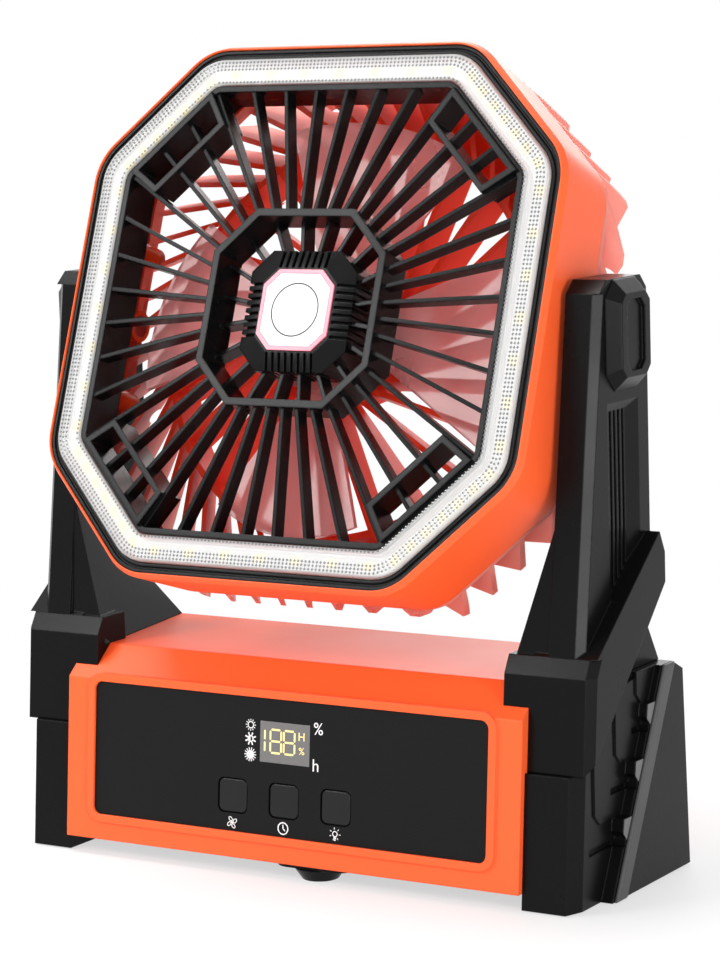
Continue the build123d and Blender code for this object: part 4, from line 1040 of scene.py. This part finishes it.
class FAN_OT_impeller(Operator):
    """Rounds and colours the impeller and its cap"""

    bl_idname = "camping_fan.impeller"
    bl_label = "Impeller"

    def execute(self, context):
        soften("impeller", "blade_plastic", settings().edges.rib)
        soften("impeller_cap", "blade_plastic", settings().edges.small)
        return {"FINISHED"}


class FAN_OT_inner_parts(Operator):
    """Gives the motor, the boards, the cells and the fasteners their finish"""

    bl_idname = "camping_fan.inner_parts"
    bl_label = "Motor, boards, cells and fasteners"

    def execute(self, context):
        finishes = {
            "steel": (
                "motor_can", "motor_shaft", "motor_rotor", "motor_screws", "guard_screws", "grille_screws",
                "board_screws", "base_screws", "cap_screws", "arm_screws", "tilt_pin_left", "tilt_pin_right",
                "tilt_nuts", "battery_contacts", "charge_inlet", "friction_washers"),
            "bronze": ("motor_bushes", "pivot_bushes"),
            "magnet": ("motor_magnets",),
            "black_plastic": ("motor_end_bell", "battery_holder", "tact_switches"),
            "green_board": ("control_board", "power_board"),
            "cell_wrap": ("battery_cells",),
            "display_grey": ("display_module",),
        }
        for name, nodes in finishes.items():
            for node in nodes:
                dress(node, name)
        return {"FINISHED"}


class FAN_OT_studio(Operator):
    """Makes the floor, the soft lights, the white surround and the camera"""

    bl_idname = "camping_fan.studio"
    bl_label = "Studio"

    def execute(self, context):
        stage = settings().stage
        context.scene.view_settings.view_transform = "Standard"
        add_floor(stage)
        add_world(stage)
        for name, (place, size) in SOFTBOXES.items():
            softbox(name + "_light", place, size, getattr(stage, name))
        add_camera(stage)
        return {"FINISHED"}


def looked_at(nodes, link):
    """One where the camera, a reflection or glass looks at a surface, and none for light that falls on it."""
    path = nodes.new("ShaderNodeLightPath")
    mirrored = nodes.new("ShaderNodeMath")
    mirrored.operation = "MAXIMUM"
    seen = nodes.new("ShaderNodeMath")
    seen.operation = "MAXIMUM"
    link(path.outputs["Is Glossy Ray"], mirrored.inputs[0])
    link(path.outputs["Is Transmission Ray"], mirrored.inputs[1])
    link(path.outputs["Is Camera Ray"], seen.inputs[0])
    link(mirrored.outputs["Value"], seen.inputs[1])
    return seen.outputs["Value"]


def add_floor(stage):
    """A pale floor that keeps the fan's shadow and turns white further out."""
    fade_start, fade_end = 0.12, 0.4
    white_at_fan = 0.6
    shape = bmesh.new()
    bmesh.ops.create_circle(shape, cap_ends=True, segments=96, radius=stage.floor)
    mesh = mesh_of("floor", shape)
    material = bpy.data.materials.new("floor")
    material.use_nodes = True
    nodes = material.node_tree.nodes
    link = material.node_tree.links.new
    shader = nodes["Principled BSDF"]
    shader.inputs["Base Color"].default_value = (0.9, 0.9, 0.9, 1)
    shader.inputs["Roughness"].default_value = 0.6
    white = nodes.new("ShaderNodeEmission")
    white.inputs["Strength"].default_value = 1
    seen = looked_at(nodes, link)
    place = nodes.new("ShaderNodeTexCoord")
    far = nodes.new("ShaderNodeVectorMath")
    far.operation = "LENGTH"
    fade = nodes.new("ShaderNodeMapRange")
    fade.inputs["From Min"].default_value = fade_start
    fade.inputs["From Max"].default_value = fade_end
    fade.inputs["To Min"].default_value = white_at_fan
    fade.inputs["To Max"].default_value = 1
    share = nodes.new("ShaderNodeMath")
    share.operation = "MULTIPLY"
    blend = nodes.new("ShaderNodeMixShader")
    link(place.outputs["Object"], far.inputs[0])
    link(far.outputs["Value"], fade.inputs["Value"])
    link(seen, share.inputs[0])
    link(fade.outputs["Result"], share.inputs[1])
    link(share.outputs["Value"], blend.inputs["Fac"])
    link(shader.outputs["BSDF"], blend.inputs[1])
    link(white.outputs["Emission"], blend.inputs[2])
    link(blend.outputs["Shader"], nodes["Material Output"].inputs["Surface"])
    mesh.materials.append(material)
    floor = bpy.data.objects.new("floor", mesh)
    bpy.context.scene.collection.objects.link(floor)


def add_world(stage):
    """White where the camera, a reflection or glass looks past the fan, and soft light elsewhere."""
    world = bpy.data.worlds.new("studio")
    bpy.context.scene.world = world
    world.use_nodes = True
    nodes = world.node_tree.nodes
    link = world.node_tree.links.new
    soft = nodes["Background"]
    soft.inputs["Color"].default_value = (1, 1, 1, 1)
    soft.inputs["Strength"].default_value = stage.world
    white = nodes.new("ShaderNodeBackground")
    white.inputs["Color"].default_value = (1, 1, 1, 1)
    white.inputs["Strength"].default_value = 1
    blend = nodes.new("ShaderNodeMixShader")
    link(looked_at(nodes, link), blend.inputs["Fac"])
    link(soft.outputs["Background"], blend.inputs[1])
    link(white.outputs["Background"], blend.inputs[2])
    link(blend.outputs["Shader"], nodes["World Output"].inputs["Surface"])


def softbox(name, place, size, power):
    """A square area lamp that looks at the fan."""
    lamp = bpy.data.lights.new(name, "AREA")
    lamp.shape = "SQUARE"
    lamp.size = size
    lamp.energy = power
    holder = bpy.data.objects.new(name, lamp)
    holder.location = place
    holder.rotation_euler = (Vector(place) - LOOK_AT).to_track_quat("Z", "Y").to_euler()
    bpy.context.scene.collection.objects.link(holder)


def add_camera(stage):
    """The camera at the photograph's viewing angle."""
    cosine = math.cos(stage.elevation)
    back = Vector((
        math.sin(stage.azimuth) * cosine, -math.cos(stage.azimuth) * cosine, math.sin(stage.elevation)))
    right = Vector((math.cos(stage.azimuth), math.sin(stage.azimuth), 0))
    level = Matrix((right, back.cross(right), back)).transposed().to_4x4()
    lens = bpy.data.cameras.new("camera")
    lens.sensor_width = 36
    lens.lens = stage.lens
    camera = bpy.data.objects.new("camera", lens)
    place = Matrix.Translation(LOOK_AT + back * stage.distance)
    camera.matrix_world = place @ level @ Matrix.Rotation(stage.roll, 4, "Z")
    bpy.context.scene.collection.objects.link(camera)
    bpy.context.scene.camera = camera


class FAN_PT_pieces(Panel):
    """Lists the fan's pieces and its studio"""

    bl_idname = "FAN_PT_pieces"
    bl_label = "Camping fan"
    bl_space_type = "VIEW_3D"
    bl_region_type = "UI"
    bl_category = "Camping fan"

    def draw(self, context):
        for maker in MAKERS:
            self.layout.operator(maker.bl_idname)


MAKERS = (
    FAN_OT_base_housing,
    FAN_OT_control_fascia,
    FAN_OT_display_digits,
    FAN_OT_printed_symbols,
    FAN_OT_end_caps,
    FAN_OT_arms,
    FAN_OT_head_shell,
    FAN_OT_ring_light,
    FAN_OT_front_grille,
    FAN_OT_rear_guard,
    FAN_OT_impeller,
    FAN_OT_inner_parts,
    FAN_OT_studio,
)

GROUPS = (FanColours, FanEdges, FanLight, FanFacets, FanPrints, FanStage, FanSettings)


def register():
    for kind in (*GROUPS, *MAKERS, FAN_PT_pieces):
        bpy.utils.register_class(kind)
    bpy.types.Scene.camping_fan = PointerProperty(type=FanSettings)


def unregister():
    del bpy.types.Scene.camping_fan
    for kind in reversed((*GROUPS, *MAKERS, FAN_PT_pieces)):
        bpy.utils.unregister_class(kind)


def main():
    register()
    bpy.ops.camping_fan.base_housing()
    bpy.ops.camping_fan.control_fascia()
    bpy.ops.camping_fan.display_digits()
    bpy.ops.camping_fan.printed_symbols()
    bpy.ops.camping_fan.end_caps()
    bpy.ops.camping_fan.arms()
    bpy.ops.camping_fan.head_shell()
    bpy.ops.camping_fan.ring_light()
    bpy.ops.camping_fan.front_grille()
    bpy.ops.camping_fan.rear_guard()
    bpy.ops.camping_fan.impeller()
    bpy.ops.camping_fan.inner_parts()
    bpy.ops.camping_fan.studio()


if __name__ == "__main__":
    main()
